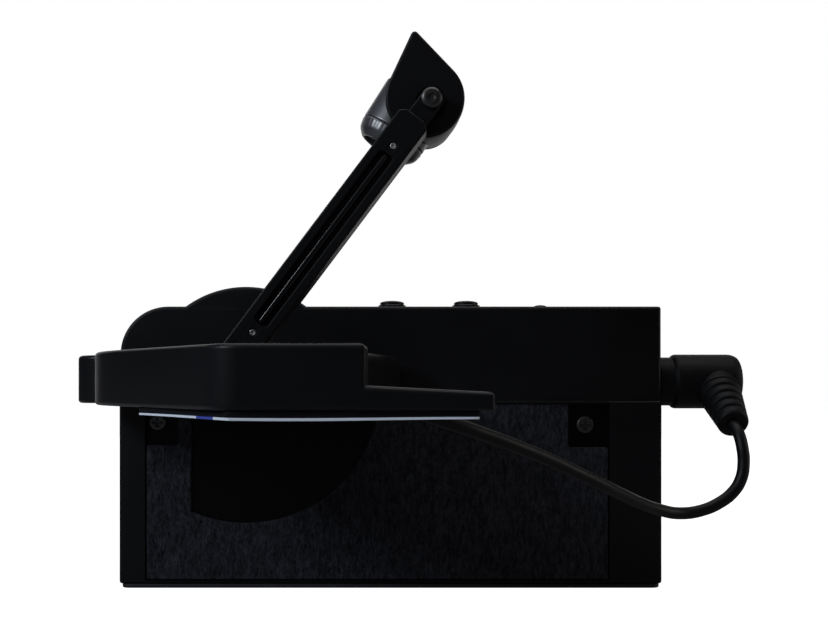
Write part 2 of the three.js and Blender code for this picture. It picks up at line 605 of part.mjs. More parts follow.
function strainRelief() {
  const axis = RELIEF.end.clone().sub(RELIEF.start);
  const length = axis.length();
  const profile = [[0, 4], [RELIEF.baseRadius, 4], [RELIEF.baseRadius, 11]];
  for (let i = 0; i < RELIEF.ribs; i += 1) {
    const t = 11 + (length - 11) * (i + 0.5) / RELIEF.ribs;
    const radius = THREE.MathUtils.lerp(RELIEF.baseRadius, RELIEF.endRadius,
      (i + 0.5) / RELIEF.ribs);
    profile.push([radius - 0.9, t - 1.2], [radius - 0.9, t - 0.5], [radius, t - 0.3],
      [radius, t + 1]);
  }
  profile.push([RELIEF.endRadius - 0.4, length], [0, length]);
  const relief = turned(profile, RELIEF.start, axis, 14);
  return relief.subtract(rod(PLUG.body + GAP, at(80, PLUG.y, PLUG.z), AXIS_X, 40, 24));
}

function cordTube() {
  const route = new THREE.CatmullRomCurve3(CORD_ROUTE.map(([x, y, z]) => at(x, y, z)),
    false, 'centripetal');
  const sides = 8;
  const section = new THREE.Shape(Array.from({ length: sides }, (_, i) => {
    const turn = i / sides * 2 * Math.PI;
    return new THREE.Vector2(CORD_RADIUS * Math.cos(turn), CORD_RADIUS * Math.sin(turn));
  }));
  return solid(new THREE.ExtrudeGeometry(section, { steps: 36, extrudePath: route }));
}

function plugPieces() {
  const group = new THREE.Group();
  const { y, z, pin, collar, body, end } = PLUG;
  let jack = box(JACK.left, right - WALL - GAP, y - JACK.halfDepth, y + JACK.halfDepth,
    z - JACK.halfHeight, z + JACK.halfHeight);
  jack = jack.subtract(rod(pin + GAP, at(JACK.pinFrom - 0.5, y, z), AXIS_X, 20, 20));
  group.add(piece('dc_jack', jack, FINISH.gloss));
  group.add(piece('plug_pin', rod(pin, at(JACK.pinFrom, y, z), AXIS_X,
    right - JACK.pinFrom, 20), FINISH.steel));
  group.add(piece('plug_collar', rod(collar, at(right + GAP, y, z), AXIS_X, 4.9, 28),
    FINISH.gloss));
  const bodyStart = right + 5.5;
  const bodyLength = end - bodyStart;
  group.add(piece('plug_body', turned([[0, 0], [body - 0.6, 0], [body, 0.6],
    [body, bodyLength - 3], [body - 0.9, bodyLength - 0.9], [body - 3, bodyLength],
    [0, bodyLength]], at(bodyStart, y, z), AXIS_X, 24), FINISH.rubber));
  group.add(piece('strain_relief', strainRelief(), FINISH.rubber));
  group.add(piece('cord', cordTube(), FINISH.rubber));
  return group;
}

// ---------------------------------------------------------------- assembly

const documentCamera = new THREE.Group();
documentCamera.add(housingPieces(), buttonPieces(), deckPieces(), armPieces(), headPieces(),
  plugPieces());

export default documentCamera;
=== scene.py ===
# %% [markdown]
# # A document camera, piece by piece
# The real object is an upright plastic housing with a flat deck on its front. A folding arm
# stands in the deck and carries a small camera head. A short lead runs from a gland in the
# deck to a right-angle plug in the housing's side. The CAD model gives the places and most
# of the sizes, and this script gives each piece its rounded edges, its felt, foam or rubber
# surface, and its finish.

# %% Load the frame
import math

import bpy
import numpy as np
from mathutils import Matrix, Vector
from mathutils.geometry import tessellate_polygon


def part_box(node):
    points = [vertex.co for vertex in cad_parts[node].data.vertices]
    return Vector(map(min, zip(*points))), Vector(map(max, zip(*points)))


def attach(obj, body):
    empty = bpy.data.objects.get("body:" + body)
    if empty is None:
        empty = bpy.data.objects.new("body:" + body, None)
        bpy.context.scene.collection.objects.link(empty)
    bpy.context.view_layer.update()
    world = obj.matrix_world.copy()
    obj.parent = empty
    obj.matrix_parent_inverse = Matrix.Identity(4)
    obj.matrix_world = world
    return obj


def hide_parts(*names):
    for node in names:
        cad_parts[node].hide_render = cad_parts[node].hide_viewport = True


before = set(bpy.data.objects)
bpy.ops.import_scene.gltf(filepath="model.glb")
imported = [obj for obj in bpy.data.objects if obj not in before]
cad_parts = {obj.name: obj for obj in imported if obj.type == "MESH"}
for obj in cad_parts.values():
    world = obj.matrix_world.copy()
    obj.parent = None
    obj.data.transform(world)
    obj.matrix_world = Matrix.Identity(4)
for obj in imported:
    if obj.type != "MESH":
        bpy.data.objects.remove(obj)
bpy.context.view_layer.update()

MM = 0.001
print("CAD nodes:", len(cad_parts))

# %% [markdown]
# ## Camera
# A level camera in front of the housing, a little above the deck. A level camera keeps
# upright edges upright, and a small vertical shift brings the raised arm into view.

# %% Camera
scene = bpy.context.scene
FOCUS = 1000 / 828                     # focal length over picture width
SENSOR = 36
camera = bpy.data.cameras.new("camera")
camera.sensor_width = SENSOR
camera.lens = SENSOR * FOCUS
camera.shift_y = 0.09
camera.clip_start = 0.01
eye = bpy.data.objects.new("camera", camera)
eye.location = Vector((7.05, -325, 61)) * MM
eye.rotation_euler = (math.radians(90), 0, 0)
scene.collection.objects.link(eye)
scene.camera = eye
print("lens", round(camera.lens, 1), "mm")

# %% [markdown]
# ## Finishes
# Shader maths reads best as plain expressions. A `Signal` is a number that changes over a
# surface, and arithmetic on signals adds Math nodes. `Finish.node` makes any other node.
# Patterns read Object coordinates in metres, so a scale of 2000 gives half-millimetre grain.

# %% Shader helpers
class Signal:
    """A socket's value, with the arithmetic that the finishes use."""

    def __init__(self, finish, socket):
        self.finish, self.socket = finish, socket

    def maths(self, operation, *values):
        return self.finish.node("ShaderNodeMath", {"operation": operation}, values)

    def __add__(self, other):
        return self.maths("ADD", self, other)

    def __sub__(self, other):
        return self.maths("SUBTRACT", self, other)

    def __rsub__(self, other):
        return self.maths("SUBTRACT", other, self)

    def __mul__(self, other):
        return self.maths("MULTIPLY", self, other)

    def __gt__(self, other):
        return self.maths("GREATER_THAN", self, other)

    def __lt__(self, other):
        return self.maths("LESS_THAN", self, other)

    __radd__, __rmul__ = __add__, __mul__


class Finish:
    """A material. Fixed values sit on its Principled shader, and signals are linked."""

    def __init__(self, name, **fixed):
        self.material = bpy.data.materials.new(name)
        self.material.use_nodes = True
        self.tree = self.material.node_tree
        self.shader = self.tree.nodes["Principled BSDF"]
        for key, value in fixed.items():
            self.set(key.replace("_", " "), value)

    def node(self, kind, settings=None, inputs=(), output=0):
        """A node of that type. Settings are attributes, except stops, which fill a ramp."""
        new = self.tree.nodes.new(kind)
        for key, value in (settings or {}).items():
            if key == "stops":
                for element, (place, shade) in zip(new.color_ramp.elements, value):
                    element.position = place
                    element.color = (shade, shade, shade, 1)
            else:
                setattr(new, key, value)
        pairs = inputs.items() if isinstance(inputs, dict) else enumerate(inputs)
        for key, value in pairs:
            self.feed(new.inputs[key], value)
        return Signal(self, new.outputs[output])

    def feed(self, socket, value):
        if isinstance(value, Signal):
            self.tree.links.new(value.socket, socket)
        else:
            socket.default_value = value

    def set(self, name, value):
        self.feed(self.shader.inputs[name], value)

    def place(self, scale=(1, 1, 1)):
        """Object coordinates, stretched."""
        where = self.node("ShaderNodeTexCoord", output=3)
        return self.node("ShaderNodeMapping", inputs={0: where, 3: scale})

    def noise(self, scale, detail=3, rough=0.5, where=None):
        return self.node("ShaderNodeTexNoise", inputs={
            "Vector": where or self.place(), "Scale": scale,
            "Detail": detail, "Roughness": rough})

    def ramp(self, value, low, high):
        """0 below low, rising to 1 above high."""
        return self.node("ShaderNodeValToRGB", {"stops": [(low, 0), (high, 1)]}, [value])

    def between(self, factor, dark, light):
        """The colour that lies between two by a factor."""
        return self.node("ShaderNodeMix", {"data_type": "RGBA"},
                         {0: factor, 6: (*dark, 1), 7: (*light, 1)}, output=2)

    def bump(self, height, strength, distance):
        self.set("Normal", self.node("ShaderNodeBump", inputs={
            "Strength": strength, "Distance": distance, "Height": height}))


COOL = (0.9, 0.94, 1.25)               # the slight blue of unlit black plastic


def shade(value, tint=COOL):
    return tuple(value * part for part in tint)


# %% [markdown]
# ### Moulded plastic
# The housing, deck, arm and head are one black plastic with a fine spark-eroded grain. The
# grain is a bump of about a third of a millimetre, and slow changes of gloss show where
# hands and the mould have polished it. Its mirror reflection is set low, because a grained
# surface scatters most of what it reflects.

# %% Plastic and rubber
def moulded(name, value, rough, grain=3200, specular=0.15):
    made = Finish(name, Specular_IOR_Level=specular)
    fine = made.noise(grain, 2, 0.55)
    slow = made.noise(55, 3, 0.5)
    made.set("Base Color", made.between(slow, shade(value * 0.75), shade(value * 1.3)))
    made.set("Roughness", rough - 0.06 + slow * 0.12 + fine * 0.05)
    made.bump(fine, 0.35, 0.00002)
    return made.material


def soft_rubber(name, value, rough, specular=0.35):
    """Rubber and cable jacket: fine pits, with a little dust where the noise is high."""
    made = Finish(name, Specular_IOR_Level=specular)
    pits = made.noise(1500, 4, 0.65)
    dust = made.ramp(made.noise(140, 4, 0.6), 0.5, 0.75)
    made.set("Base Color", made.between(dust, shade(value), shade(value * 1.8)))
    made.set("Roughness", rough + dust * 0.1 + pits * 0.06)
    made.bump(pits, 0.3, 0.00003)
    return made.material


def polished(name, value, rough, specular=0.4):
    """Polished plastic with hairline scratches: stretched noise above a threshold."""
    made = Finish(name, Specular_IOR_Level=specular)
    hair = made.ramp(made.noise(60, 5, 0.75, made.place((6, 60, 40))), 0.6, 0.72)
    made.set("Base Color", made.between(hair, shade(value), shade(value * 1.6)))
    made.set("Roughness", rough + hair * 0.08)
    made.bump(made.noise(700, 2), 0.05, 0.00002)
    return made.material


# %% [markdown]
# ### Felt, foam and paper
# Felt is pressed hair with no weave. Long noise cells stretched upwards give the streaks of
# a brushed surface, and a finer layer gives the single hairs. Foam shows small round cells,
# which Voronoi noise draws. The release sheet is smooth paper with one plain blue stripe.

# %% Felt, foam and paper
def brushed_felt(name, dark, light):
    made = Finish(name, Specular_IOR_Level=0.15)
    streaks = made.noise(420, 5, 0.7, made.place((2.4, 1, 0.8)))
    hairs = made.noise(1700, 3, 0.7, made.place((1.8, 1, 0.5)))
    both = made.ramp(streaks * 0.6 + hairs * 0.4, 0.4, 0.64)
    made.set("Base Color", made.between(both, shade(dark), shade(light)))
    made.set("Roughness", 0.8 + hairs * 0.2)
    made.bump(both, 0.8, 0.0003)
    return made.material


def cellular_foam(name):
    made = Finish(name, Specular_IOR_Level=0.1)
    cells = made.node("ShaderNodeTexVoronoi", inputs={"Vector": made.place(), "Scale": 2600})
    made.set("Base Color", made.between(cells, shade(0.003), shade(0.011)))
    made.set("Roughness", 0.85 + cells * 0.15)
    made.bump(cells, 0.6, 0.0001)
    return made.material


def release_sheet(name, stripe):
    """Smooth white paper, blue where X lies between the stripe's two edges in metres."""
    made = Finish(name, Specular_IOR_Level=0.5)
    x = made.node("ShaderNodeSeparateXYZ", inputs=[made.place()])
    inside = (x > stripe[0]) * (x < stripe[1])
    fibres = made.noise(900, 4, 0.6)
    made.set("Base Color", made.between(inside, (0.78, 0.86, 1.0), (0.05, 0.08, 0.45)))
    made.set("Roughness", 0.32 + fibres * 0.15)
    made.bump(fibres, 0.1, 0.00002)
    return made.material


# %% [markdown]
# ### Metal, boards and glass
# Small screws catch the light, so their metal has a turned grain. Boards are green solder
# mask over copper tracks, which show as a faint raised pattern. The lens has a dark, very
# smooth surface with a faint violet coating.

# %% Metal, boards and glass
def plated(name, value, rough):
    made = Finish(name, Metallic=1.0)
    grain = made.noise(900, 4, 0.6, made.place((1, 12, 1)))
    plain = (1, 1, 1.03)
    made.set("Base Color", made.between(grain, shade(value * 0.8, plain),
                                        shade(value * 1.1, plain)))
    made.set("Roughness", rough + grain * 0.18)
    made.bump(grain, 0.12, 0.00002)
    return made.material


def circuit_board(name):
    made = Finish(name, Specular_IOR_Level=0.5)
    tracks = made.node("ShaderNodeTexBrick", inputs={
        "Vector": made.place(), "Scale": 160, "Mortar Size": 0.02}, output=1)
    made.set("Base Color", made.between(tracks, (0.008, 0.07, 0.03), (0.02, 0.12, 0.05)))
    made.set("Roughness", 0.3 + tracks * 0.15)
    made.bump(tracks, 0.3, 0.00003)
    return made.material


def coated_glass(name):
    made = Finish(name, Specular_IOR_Level=0.8, Coat_Weight=1.0, Coat_Roughness=0.01)
    smear = made.noise(300, 3)
    made.set("Base Color", made.between(smear, (0.004, 0.004, 0.014), (0.014, 0.006, 0.04)))
    made.set("Roughness", 0.03 + smear * 0.03)
    return made.material


STRIPE = (-0.0389, -0.0343)
housing_black = moulded("housing_black", 0.0035, 0.42)
deck_black = moulded("deck_black", 0.0045, 0.36, grain=2600)
# The recess floor behind the felt's window is real plastic, made darker than the housing as
# painted shade of the tray's shadow.
painted_shade_black = polished("painted_shade_black", 0.0004, 0.3, specular=0.1)
felt = brushed_felt("felt", 0.005, 0.045)
felt_hair = brushed_felt("felt_hair", 0.008, 0.03)
rubber = soft_rubber("rubber", 0.003, 0.5, specular=0.12)
jacket = soft_rubber("jacket", 0.003, 0.4, specular=0.15)
mat_rubber = soft_rubber("mat_rubber", 0.012, 0.6)
gloss_black = polished("gloss_black", 0.004, 0.18)
satin_black = polished("satin_black", 0.03, 0.36, specular=1.0)
foam = cellular_foam("foam")
white_sheet = release_sheet("white_sheet", STRIPE)
steel = plated("steel", 0.62, 0.28)
dark_steel = plated("dark_steel", 0.06, 0.32)
dark_metal = plated("dark_metal", 0.03, 0.42)
board = circuit_board("board")
lens_coating = coated_glass("lens_coating")
print("finishes:", len(bpy.data.materials))

# %% [markdown]
# ## The lead
# The lead leaves the deck through a small gland, falls in one slack loop and rises to the
# strain relief of its right-angle plug. It is a Bezier curve through the same points as the
# CAD tube, so that its length is the real one, and its handles are automatic, so that it
# bends evenly.

# %% Lead
LEAD = 3.4                             # diameter in millimetres
ROUTE = [
    (98.67, -38.27, 49.66), (99.1, -41.2, 47.4), (99.5, -43.3, 43.6), (99.6, -44.2, 38.8),
    (98.6, -44.7, 34.4), (96.2, -45.1, 30.9), (92.2, -45.6, 28), (86.8, -46.6, 26),
    (80.7, -48.2, 25.5), (74.2, -52, 26.9), (67.4, -58.2, 29.5), (61, -64.8, 32.6),
    (54.6, -71.2, 35.8), (47.6, -76.5, 39.2), (40.1, -81.9, 42.8), (32.2, -87.3, 46.1),
    (24.7, -92, 49), (17.6, -96, 51.6), (11.1, -98, 53.9), (5, -98.1, 56.3),
    (-1, -97.7, 58.3), (-6, -97.5, 59.7), (-11, -97.5, 60.8), (-15, -97.5, 61.6),
]


def lead_curve(route, diameter):
    curve = bpy.data.curves.new("lead", "CURVE")
    curve.dimensions = "3D"
    spline = curve.splines.new("BEZIER")
    spline.bezier_points.add(len(route) - 1)
    for point, place in zip(spline.bezier_points, route):
        point.co = Vector(place) * MM
        point.handle_left_type = point.handle_right_type = "AUTO"
    spline.resolution_u = 10
    curve.bevel_depth = diameter / 2 * MM
    curve.bevel_resolution = 5
    curve.use_fill_caps = True
    curve.materials.append(jacket)
    obj = bpy.data.objects.new("lead", curve)
    scene.collection.objects.link(obj)
    return obj


from_gland = ROUTE[::-1]
lead = lead_curve(from_gland, LEAD)
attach(lead, "base")
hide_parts("cord")

# %% [markdown]
# ## Surfaces from arrays
# Most pieces here are mouldings: an outline with rounded corners, given a thickness, with
# rounded edges. Two parameters describe such a surface. One runs round the outline, and the
# other runs along a profile from one face over the edges to the other face. Numpy works out
# whole rings of points at once.

# %% Outlines
def arc(x, y, radius, start, stop, count=16):
    """Points on a circle: centre plus radius times (cos, sin), from start to stop degrees."""
    angle = np.radians(np.linspace(start, stop, count))
    return np.stack([x + radius * np.cos(angle), y + radius * np.sin(angle)], axis=1)


def bezier(*controls, count=14):
    """The sum of the control points, each times its Bernstein weight."""
    t = np.linspace(0, 1, count)[:, None]
    n = len(controls) - 1
    return sum(math.comb(n, k) * t ** k * (1 - t) ** (n - k) * np.array(point, float)
               for k, point in enumerate(controls))


def unit(vectors):
    return vectors / np.linalg.norm(vectors, axis=1, keepdims=True)


def left_of(vectors):
    """Each plane vector turned a quarter anticlockwise: (-y, x)."""
    return np.stack([-vectors[:, 1], vectors[:, 0]], axis=1)


class Outline:
    """A closed outline, anticlockwise. Corners are (x, y) or (x, y, radius), where no
    radius means a sharp corner or a point of a curve."""

    def __init__(self, corners, count=6):
        rows = np.array([(*corner, 0.0)[:3] for corner in corners], float)
        self.corner, self.radius, self.count = rows[:, :2], rows[:, 2], count
        self.keep = np.zeros((len(rows), count), bool)
        self.keep[:, 0] = True
        self.keep[self.radius > 0] = True

    def each(self, values):
        """One value per corner, repeated for the points of its arc."""
        spread = np.broadcast_to(values, len(self.corner))[:, None]
        return np.broadcast_to(spread, self.keep.shape)[self.keep]

    def at(self, distance=0.0):
        """The outline moved inwards. Corners move along their mitre, an outer corner's
        radius shrinks by the distance and an inner one's grows, and each arc's points are
        its centre plus the radius turned through equal parts of the corner's angle."""
        moved = np.broadcast_to(np.asarray(distance, float), len(self.corner))
        into = unit(self.corner - np.roll(self.corner, 1, axis=0))
        out = np.roll(into, -1, axis=0)
        mitre = left_of(into + out) / (1 + (into * out).sum(axis=1))[:, None]
        corner = self.corner + mitre * moved[:, None]
        cross = into[:, 0] * out[:, 1] - into[:, 1] * out[:, 0]
        turn = np.arctan2(cross, (into * out).sum(axis=1))
        hand = np.where(turn < 0, -1.0, 1.0)
        radius = np.where(self.radius > 0, np.maximum(self.radius - hand * moved, 0.03), 0)
        side = left_of(into) * hand[:, None]
        centre = corner - into * (radius * np.tan(abs(turn) / 2))[:, None]
        centre = centre + side * radius[:, None]
        swept = (turn[:, None] * np.linspace(0, 1, self.count))[..., None]
        spoke = -side[:, None] * np.cos(swept) - left_of(side)[:, None] * np.sin(swept)
        return (centre[:, None] + spoke * radius[:, None, None])[self.keep]


def enclosed(points):
    """The area inside a closed outline: half the sum of each x times the next y, less each
    y times the next x."""
    after = np.roll(points, -1, axis=0)
    return abs((points[:, 0] * after[:, 1] - points[:, 1] * after[:, 0]).sum()) / 2


def disc(x, y, radius, count=32):
    return Outline(arc(x, y, radius, 0, 360, count + 1)[:-1])


def rectangle(x0, y0, x1, y1, radius=0.5):
    return Outline([(x0, y0, radius), (x1, y0, radius), (x1, y1, radius), (x0, y1, radius)])


# %% Profiles
def rising(low, high, fillet_low=0.3, fillet_high=0.3, steps=5):
    """(inset, height) up an outside wall: a quarter circle from the low face to the wall,
    and one from the wall to the high face. Inset is r(1 - cos), height is r(1 - sin)."""
    a = np.linspace(0, np.pi / 2, steps)
    rows = [(fillet_low * (1 - s), low + fillet_low * (1 - c))
            for s, c in zip(np.sin(a), np.cos(a))]
    return rows + [(fillet_high * (1 - c), high - fillet_high * (1 - s))
                   for s, c in zip(np.sin(a), np.cos(a))]


def sinking(top, floor, fillet=0.2):
    """(inset, height) down a hole's wall from a softened edge to its floor."""
    return [(-fillet, top), (-fillet * 0.3, top - fillet * 0.3), (0, top - fillet), (0, floor)]


# %% Planes
def frontal(a, b, height):
    """An outline in X and Z, with its height along Y."""
    return np.stack([a, height, b], axis=1)


def upright(a, b, height):
    """An outline in X and Y, with its height along Z."""
    return np.stack([a, b, height], axis=1)


def around(origin, axis):
    """An outline square to an axis, with its height along that axis."""
    axis = np.asarray(axis, float) / np.linalg.norm(axis)
    side = np.cross(axis, (0, 0, 1) if abs(axis[2]) < 0.9 else (1, 0, 0))
    side /= np.linalg.norm(side)
    other = np.cross(axis, side)
    return lambda a, b, height: (np.asarray(origin) + a[:, None] * side
                                 + b[:, None] * other + height[:, None] * axis)


# %% [markdown]
# A `Surface` keeps rings of points. Every ring runs the same way round, so all faces point
# outwards when rows go up an outside wall and down an inside one. Faces with holes are
# filled with triangles between the rings.

# %% Surfaces
class Surface:
    def __init__(self, plane):
        self.plane = plane
        self.flat, self.height, self.faces = [], [], []
        self.count = 0

    def ring(self, points, height):
        self.flat.append(points)
        self.height.append(np.broadcast_to(height, len(points)))
        self.count += len(points)
        return np.arange(self.count - len(points), self.count)

    def band(self, low, high):
        quads = np.stack([low, np.roll(low, -1), np.roll(high, -1), high], axis=1)
        self.faces.append((quads, 0))

    def wall(self, outline, profile):
        """A band between each two (inset, height) rows of the profile. Both may be one
        number or one for each corner."""
        rings = [self.ring(outline.at(d), outline.each(h)) for d, h in profile]
        for low, high in zip(rings, rings[1:]):
            self.band(low, high)
        return rings

    def cap(self, ring, holes=(), up=True, finish=0):
        """Triangles that fill a ring except for its holes."""
        flat = np.vstack(self.flat)
        loops = [ring, *holes]
        index = np.concatenate(loops)
        rows = [np.pad(flat[loop], ((0, 0), (0, 1))).tolist() for loop in loops]
        corner = index[np.array(tessellate_polygon(rows))]
        a, b, c = (flat[corner[:, k]] for k in range(3))
        area = (b - a)[:, 0] * (c - a)[:, 1] - (b - a)[:, 1] * (c - a)[:, 0]
        turned_over = (area < 0) == up
        corner[turned_over] = corner[turned_over][:, ::-1]
        self.faces.append((corner, finish))

    def result(self):
        """Points in space and faces, turned round as one if their volume is negative."""
        flat, height = np.vstack(self.flat), np.concatenate(self.height)
        points = self.plane(flat[:, 0], flat[:, 1], height)
        volume = sum(np.einsum("ij,ij->", points[f[:, 0]],
                               np.cross(points[f[:, k]], points[f[:, k + 1]]))
                     for f, _ in self.faces for k in range(1, f.shape[1] - 1))
        order = slice(None, None, -1) if volume < 0 else slice(None)
        return points, [(f[:, order], finish) for f, finish in self.faces]


class Loose:
    """Points in space and blocks of faces that are already worked out."""

    def __init__(self, points, blocks):
        self.points, self.blocks = points, blocks

    def result(self):
        return self.points, [(block, 0) for block in self.blocks]


SHARP = math.radians(38)


def make(name, surfaces, rides, finishes, replaces=(), bend=None):
    """A piece from one or more closed surfaces. Edges steeper than SHARP stay crisp, and
    weighted normals keep large flat faces flat next to their rounded edges. bend may
    move the points once they are in space."""
    surfaces = surfaces if isinstance(surfaces, list) else [surfaces]
    finishes = finishes if isinstance(finishes, list) else [finishes]
    points, faces, index, start = [], [], [], 0
    for surface in surfaces:
        co, groups = surface.result()
        points.append(co)
        for block, finish in groups:
            faces += (block + start).tolist()
            index += [finish] * len(block)
        start += len(co)
    co = np.vstack(points)
    mesh = bpy.data.meshes.new(name)
    mesh.from_pydata(((co if bend is None else bend(co)) * MM).tolist(), [], faces)
    mesh.polygons.foreach_set("material_index", index)
    mesh.polygons.foreach_set("use_smooth", np.ones(len(faces), bool))
    mesh.set_sharp_from_angle(angle=SHARP)
    for finish in finishes:
        mesh.materials.append(finish)
    obj = bpy.data.objects.new(name, mesh)
    scene.collection.objects.link(obj)
    even = obj.modifiers.new("even faces", "WEIGHTED_NORMAL")
    even.keep_sharp = True
    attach(obj, rides)
    if replaces:
        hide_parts(*([replaces] if isinstance(replaces, str) else replaces))
    return obj


def slab(outline, profile, plane, low_holes=(), high_holes=(), through=()):
    """A closed moulding. Each hole is (outline, depth, finish of its floor); a low hole
    opens in the low face and a high hole in the high one. Through holes are outlines."""
    body = Surface(plane)
    rings = body.wall(outline, profile)
    low, high = np.min(profile[0][1]), np.max(profile[-1][1])
    low_edges, high_edges = [], []
    for hole, depth, finish in low_holes:
        made = body.wall(hole, [(0, low + depth), (0, low + 0.2), (-0.06, low + 0.06),
                                (-0.2, low)])
        body.cap(made[0], up=False, finish=finish)
        low_edges.append(made[-1])
    for hole, depth, finish in high_holes:
        made = body.wall(hole, sinking(high, high - depth))
        body.cap(made[-1], finish=finish)
        high_edges.append(made[0])
    for hole in through:
        made = body.wall(hole, sinking(high, low))
        high_edges.append(made[0])
        low_edges.append(made[-1])
    body.cap(rings[0], low_edges, up=False)
    body.cap(rings[-1], high_edges)
    return body


def turned(profile, origin, axis, count=48, wave=None, closed=False):
    """A turned piece: (radius, distance) pairs swung round an axis. wave(radius, angle) is
    added to the radius, as for the ribs of a grip. A closed profile makes a ring."""
    body = Surface(around(origin, axis))
    angle = np.linspace(0, 2 * np.pi, count, endpoint=False)
    rings = []
    for radius, distance in profile:
        reach = radius + (wave(radius, angle) if wave else 0 * angle)
        points = np.stack([reach * np.cos(angle), reach * np.sin(angle)], axis=1)
        rings.append(body.ring(points, distance))
    for low, high in zip(rings, rings[1:] + rings[:1] if closed else rings[1:]):
        body.band(low, high)
    if not closed:
        body.cap(rings[0], up=False)
        body.cap(rings[-1])
    return body


def softened(profile, radius=0.3, steps=4):
    """A profile with each of its bends rounded: the bend becomes a quadratic curve between
    points at that distance before and after it, or less on a short side."""
    rows = np.array(profile, float)
    parts = [rows[:1]]
    for before, here, after in zip(rows, rows[1:], rows[2:]):
        a, b = before - here, after - here
        reach = min(radius, np.linalg.norm(a) * 0.45, np.linalg.norm(b) * 0.45)
        start = here + a / np.linalg.norm(a) * reach
        end = here + b / np.linalg.norm(b) * reach
        parts.append(bezier(start, here, end, count=steps))
    return np.vstack([*parts, rows[-1:]])


def span(node):
    """A CAD node's lowest and highest corners in millimetres."""
    return tuple(np.array(corner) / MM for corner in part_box(node))


print("surface helpers ready")

# %% [markdown]
# ## Housing
# The housing is two moulded shells that meet in a seam round the sides. The front one is
# cut away below for a felt panel, with a flat apron standing a little proud round it. Its
# outline has a large corner and a round hump over the arm's joint. A shell could be a block
# with Solidify, but carrying one profile round the outline gives the outer edge, the rim
# and the inner wall in a single closed skin.

# %% Housing outline
HALF, FOOT, TOP = 81.5, 1.3, 84.7
HUMP = (-43.65, 59.9, 30.75)           # x, z and radius
CORNER = 14.4
WALL = 2
BAND_FRONT, APRON_FRONT, APRON_TOP = -24.2, -25.0, 56.3
SPLIT, BACK = -1.85, 25.0
RECESS_FLOOR = -23.4
FELT = (-73.3, 2.6, 65.4, 55.5)        # left, bottom, right, top

rise = math.degrees(math.asin((TOP - HUMP[1]) / HUMP[2]))
housing = Outline([
    (-HALF, FOOT, 1.2), (HALF, FOOT, 0.8), (HALF, TOP, 0.8),
    *arc(*HUMP, rise, 180 - rise, 36),
    *arc(-HALF + CORNER, TOP - CORNER, CORNER, 90, 180, 18),
])
print("housing outline points:", len(housing.at()))

# %% Front shell
recess = rectangle(FELT[0] - 0.3, FELT[1] - 0.3, FELT[2] + 0.3, FELT[3] + 0.3)
front = Surface(frontal)
skin = front.wall(housing, [
    *rising(BAND_FRONT, SPLIT - 0.15, 1.1, 0.15), (WALL - 0.15, SPLIT - 0.15), (WALL, SPLIT - 0.3),
    (WALL, RECESS_FLOOR + WALL),
])
pocket = front.wall(recess, [(0, RECESS_FLOOR), (0, BAND_FRONT)])
# Finish 1 on the recess floor is painted shade: darker than the housing where the tray's shadow
# falls through the felt's window.
front.cap(pocket[0], up=False, finish=1)
front.cap(skin[0], [pocket[-1]], up=False)
front.cap(skin[-1])

apron = Surface(frontal)
edge = rectangle(-HALF, FOOT, HALF, APRON_TOP, 0.9)
rim = apron.wall(edge, rising(APRON_FRONT, BAND_FRONT + 0.5, 0.9, 0.05))
mouth = apron.wall(recess, [(-0.02, BAND_FRONT + 0.5), (0, APRON_FRONT + 0.25),
                            (-0.08, APRON_FRONT + 0.07), (-0.25, APRON_FRONT)])
apron.cap(rim[0], [mouth[-1]], up=False)
apron.cap(rim[-1], [mouth[0]])
make("front_casing", [front, apron], "base", [housing_black, painted_shade_black],
     "front_shell")
print("front shell ready")

# %% [markdown]
# The rear cover has a rounder outer edge, as the half that faces the wall. Its holes are
# real: counterbores for four screws, and openings for two sockets.

# %% Rear cover
PORT_Z = 30
rear_screws = [(-74, 20), (74, 20), (74, 76), (-68, 70)]
counterbores = [disc(x, z, 3.3) for x, z in rear_screws]
sockets = [rectangle(35.1, PORT_Z - 2, 44.9, PORT_Z + 2, 1.6), disc(56, PORT_Z, 2.9)]
cover = Surface(frontal)
skin = cover.wall(housing, [
    (WALL, BACK - WALL), (WALL, SPLIT + 0.3), (WALL - 0.15, SPLIT + 0.15),
    *rising(SPLIT + 0.15, BACK, 0.15, 2.2, steps=7),
])
wells = [cover.wall(hole, sinking(BACK, BACK - 1.7)) for hole in counterbores]
for well in wells:
    cover.cap(well[-1])
openings = [cover.wall(hole, sinking(BACK, BACK - WALL)) for hole in sockets]
cover.cap(skin[0], [well[-1] for well in openings], up=False)
cover.cap(skin[-1], [well[0] for well in wells + openings])
make("rear_casing", cover, "base", housing_black, "rear_cover")

low, high = span("base_mat")
MAT_HALF, MAT_DEPTH, MAT_TOP = 81.1, 24.6, 1.25
mat = rectangle(-MAT_HALF, -MAT_DEPTH, MAT_HALF, MAT_DEPTH, 2.5)
treads = [rectangle(x, low[1] + 4, x + 12, high[1] - 4, 1.5) for x in np.linspace(-74, 62, 9)]
make("rubber_mat", slab(mat, rising(low[2], MAT_TOP, 0.3, 0.3), upright,
                        low_holes=[(tread, 0.4, 0) for tread in treads]),
     "base", mat_rubber, "base_mat")
print("rear cover and mat ready")

# %% [markdown]
# ## Screws
# Each screw head is a short round slab with a cross recess sunk in it. The recess is a
# twelve-cornered outline with a wall and a floor, because a drive drawn on a flat head
# would look wrong from the side.

# %% Screws
def cross_recess(reach, half):
    """A plus sign, anticlockwise, with arms as long as reach and twice half wide."""
    steps = [(half, -reach), (half, -half), (reach, -half), (reach, half), (half, half),
             (half, reach), (-half, reach), (-half, half), (-reach, half), (-reach, -half),
             (-half, -half), (-half, -reach)]
    return Outline(steps)


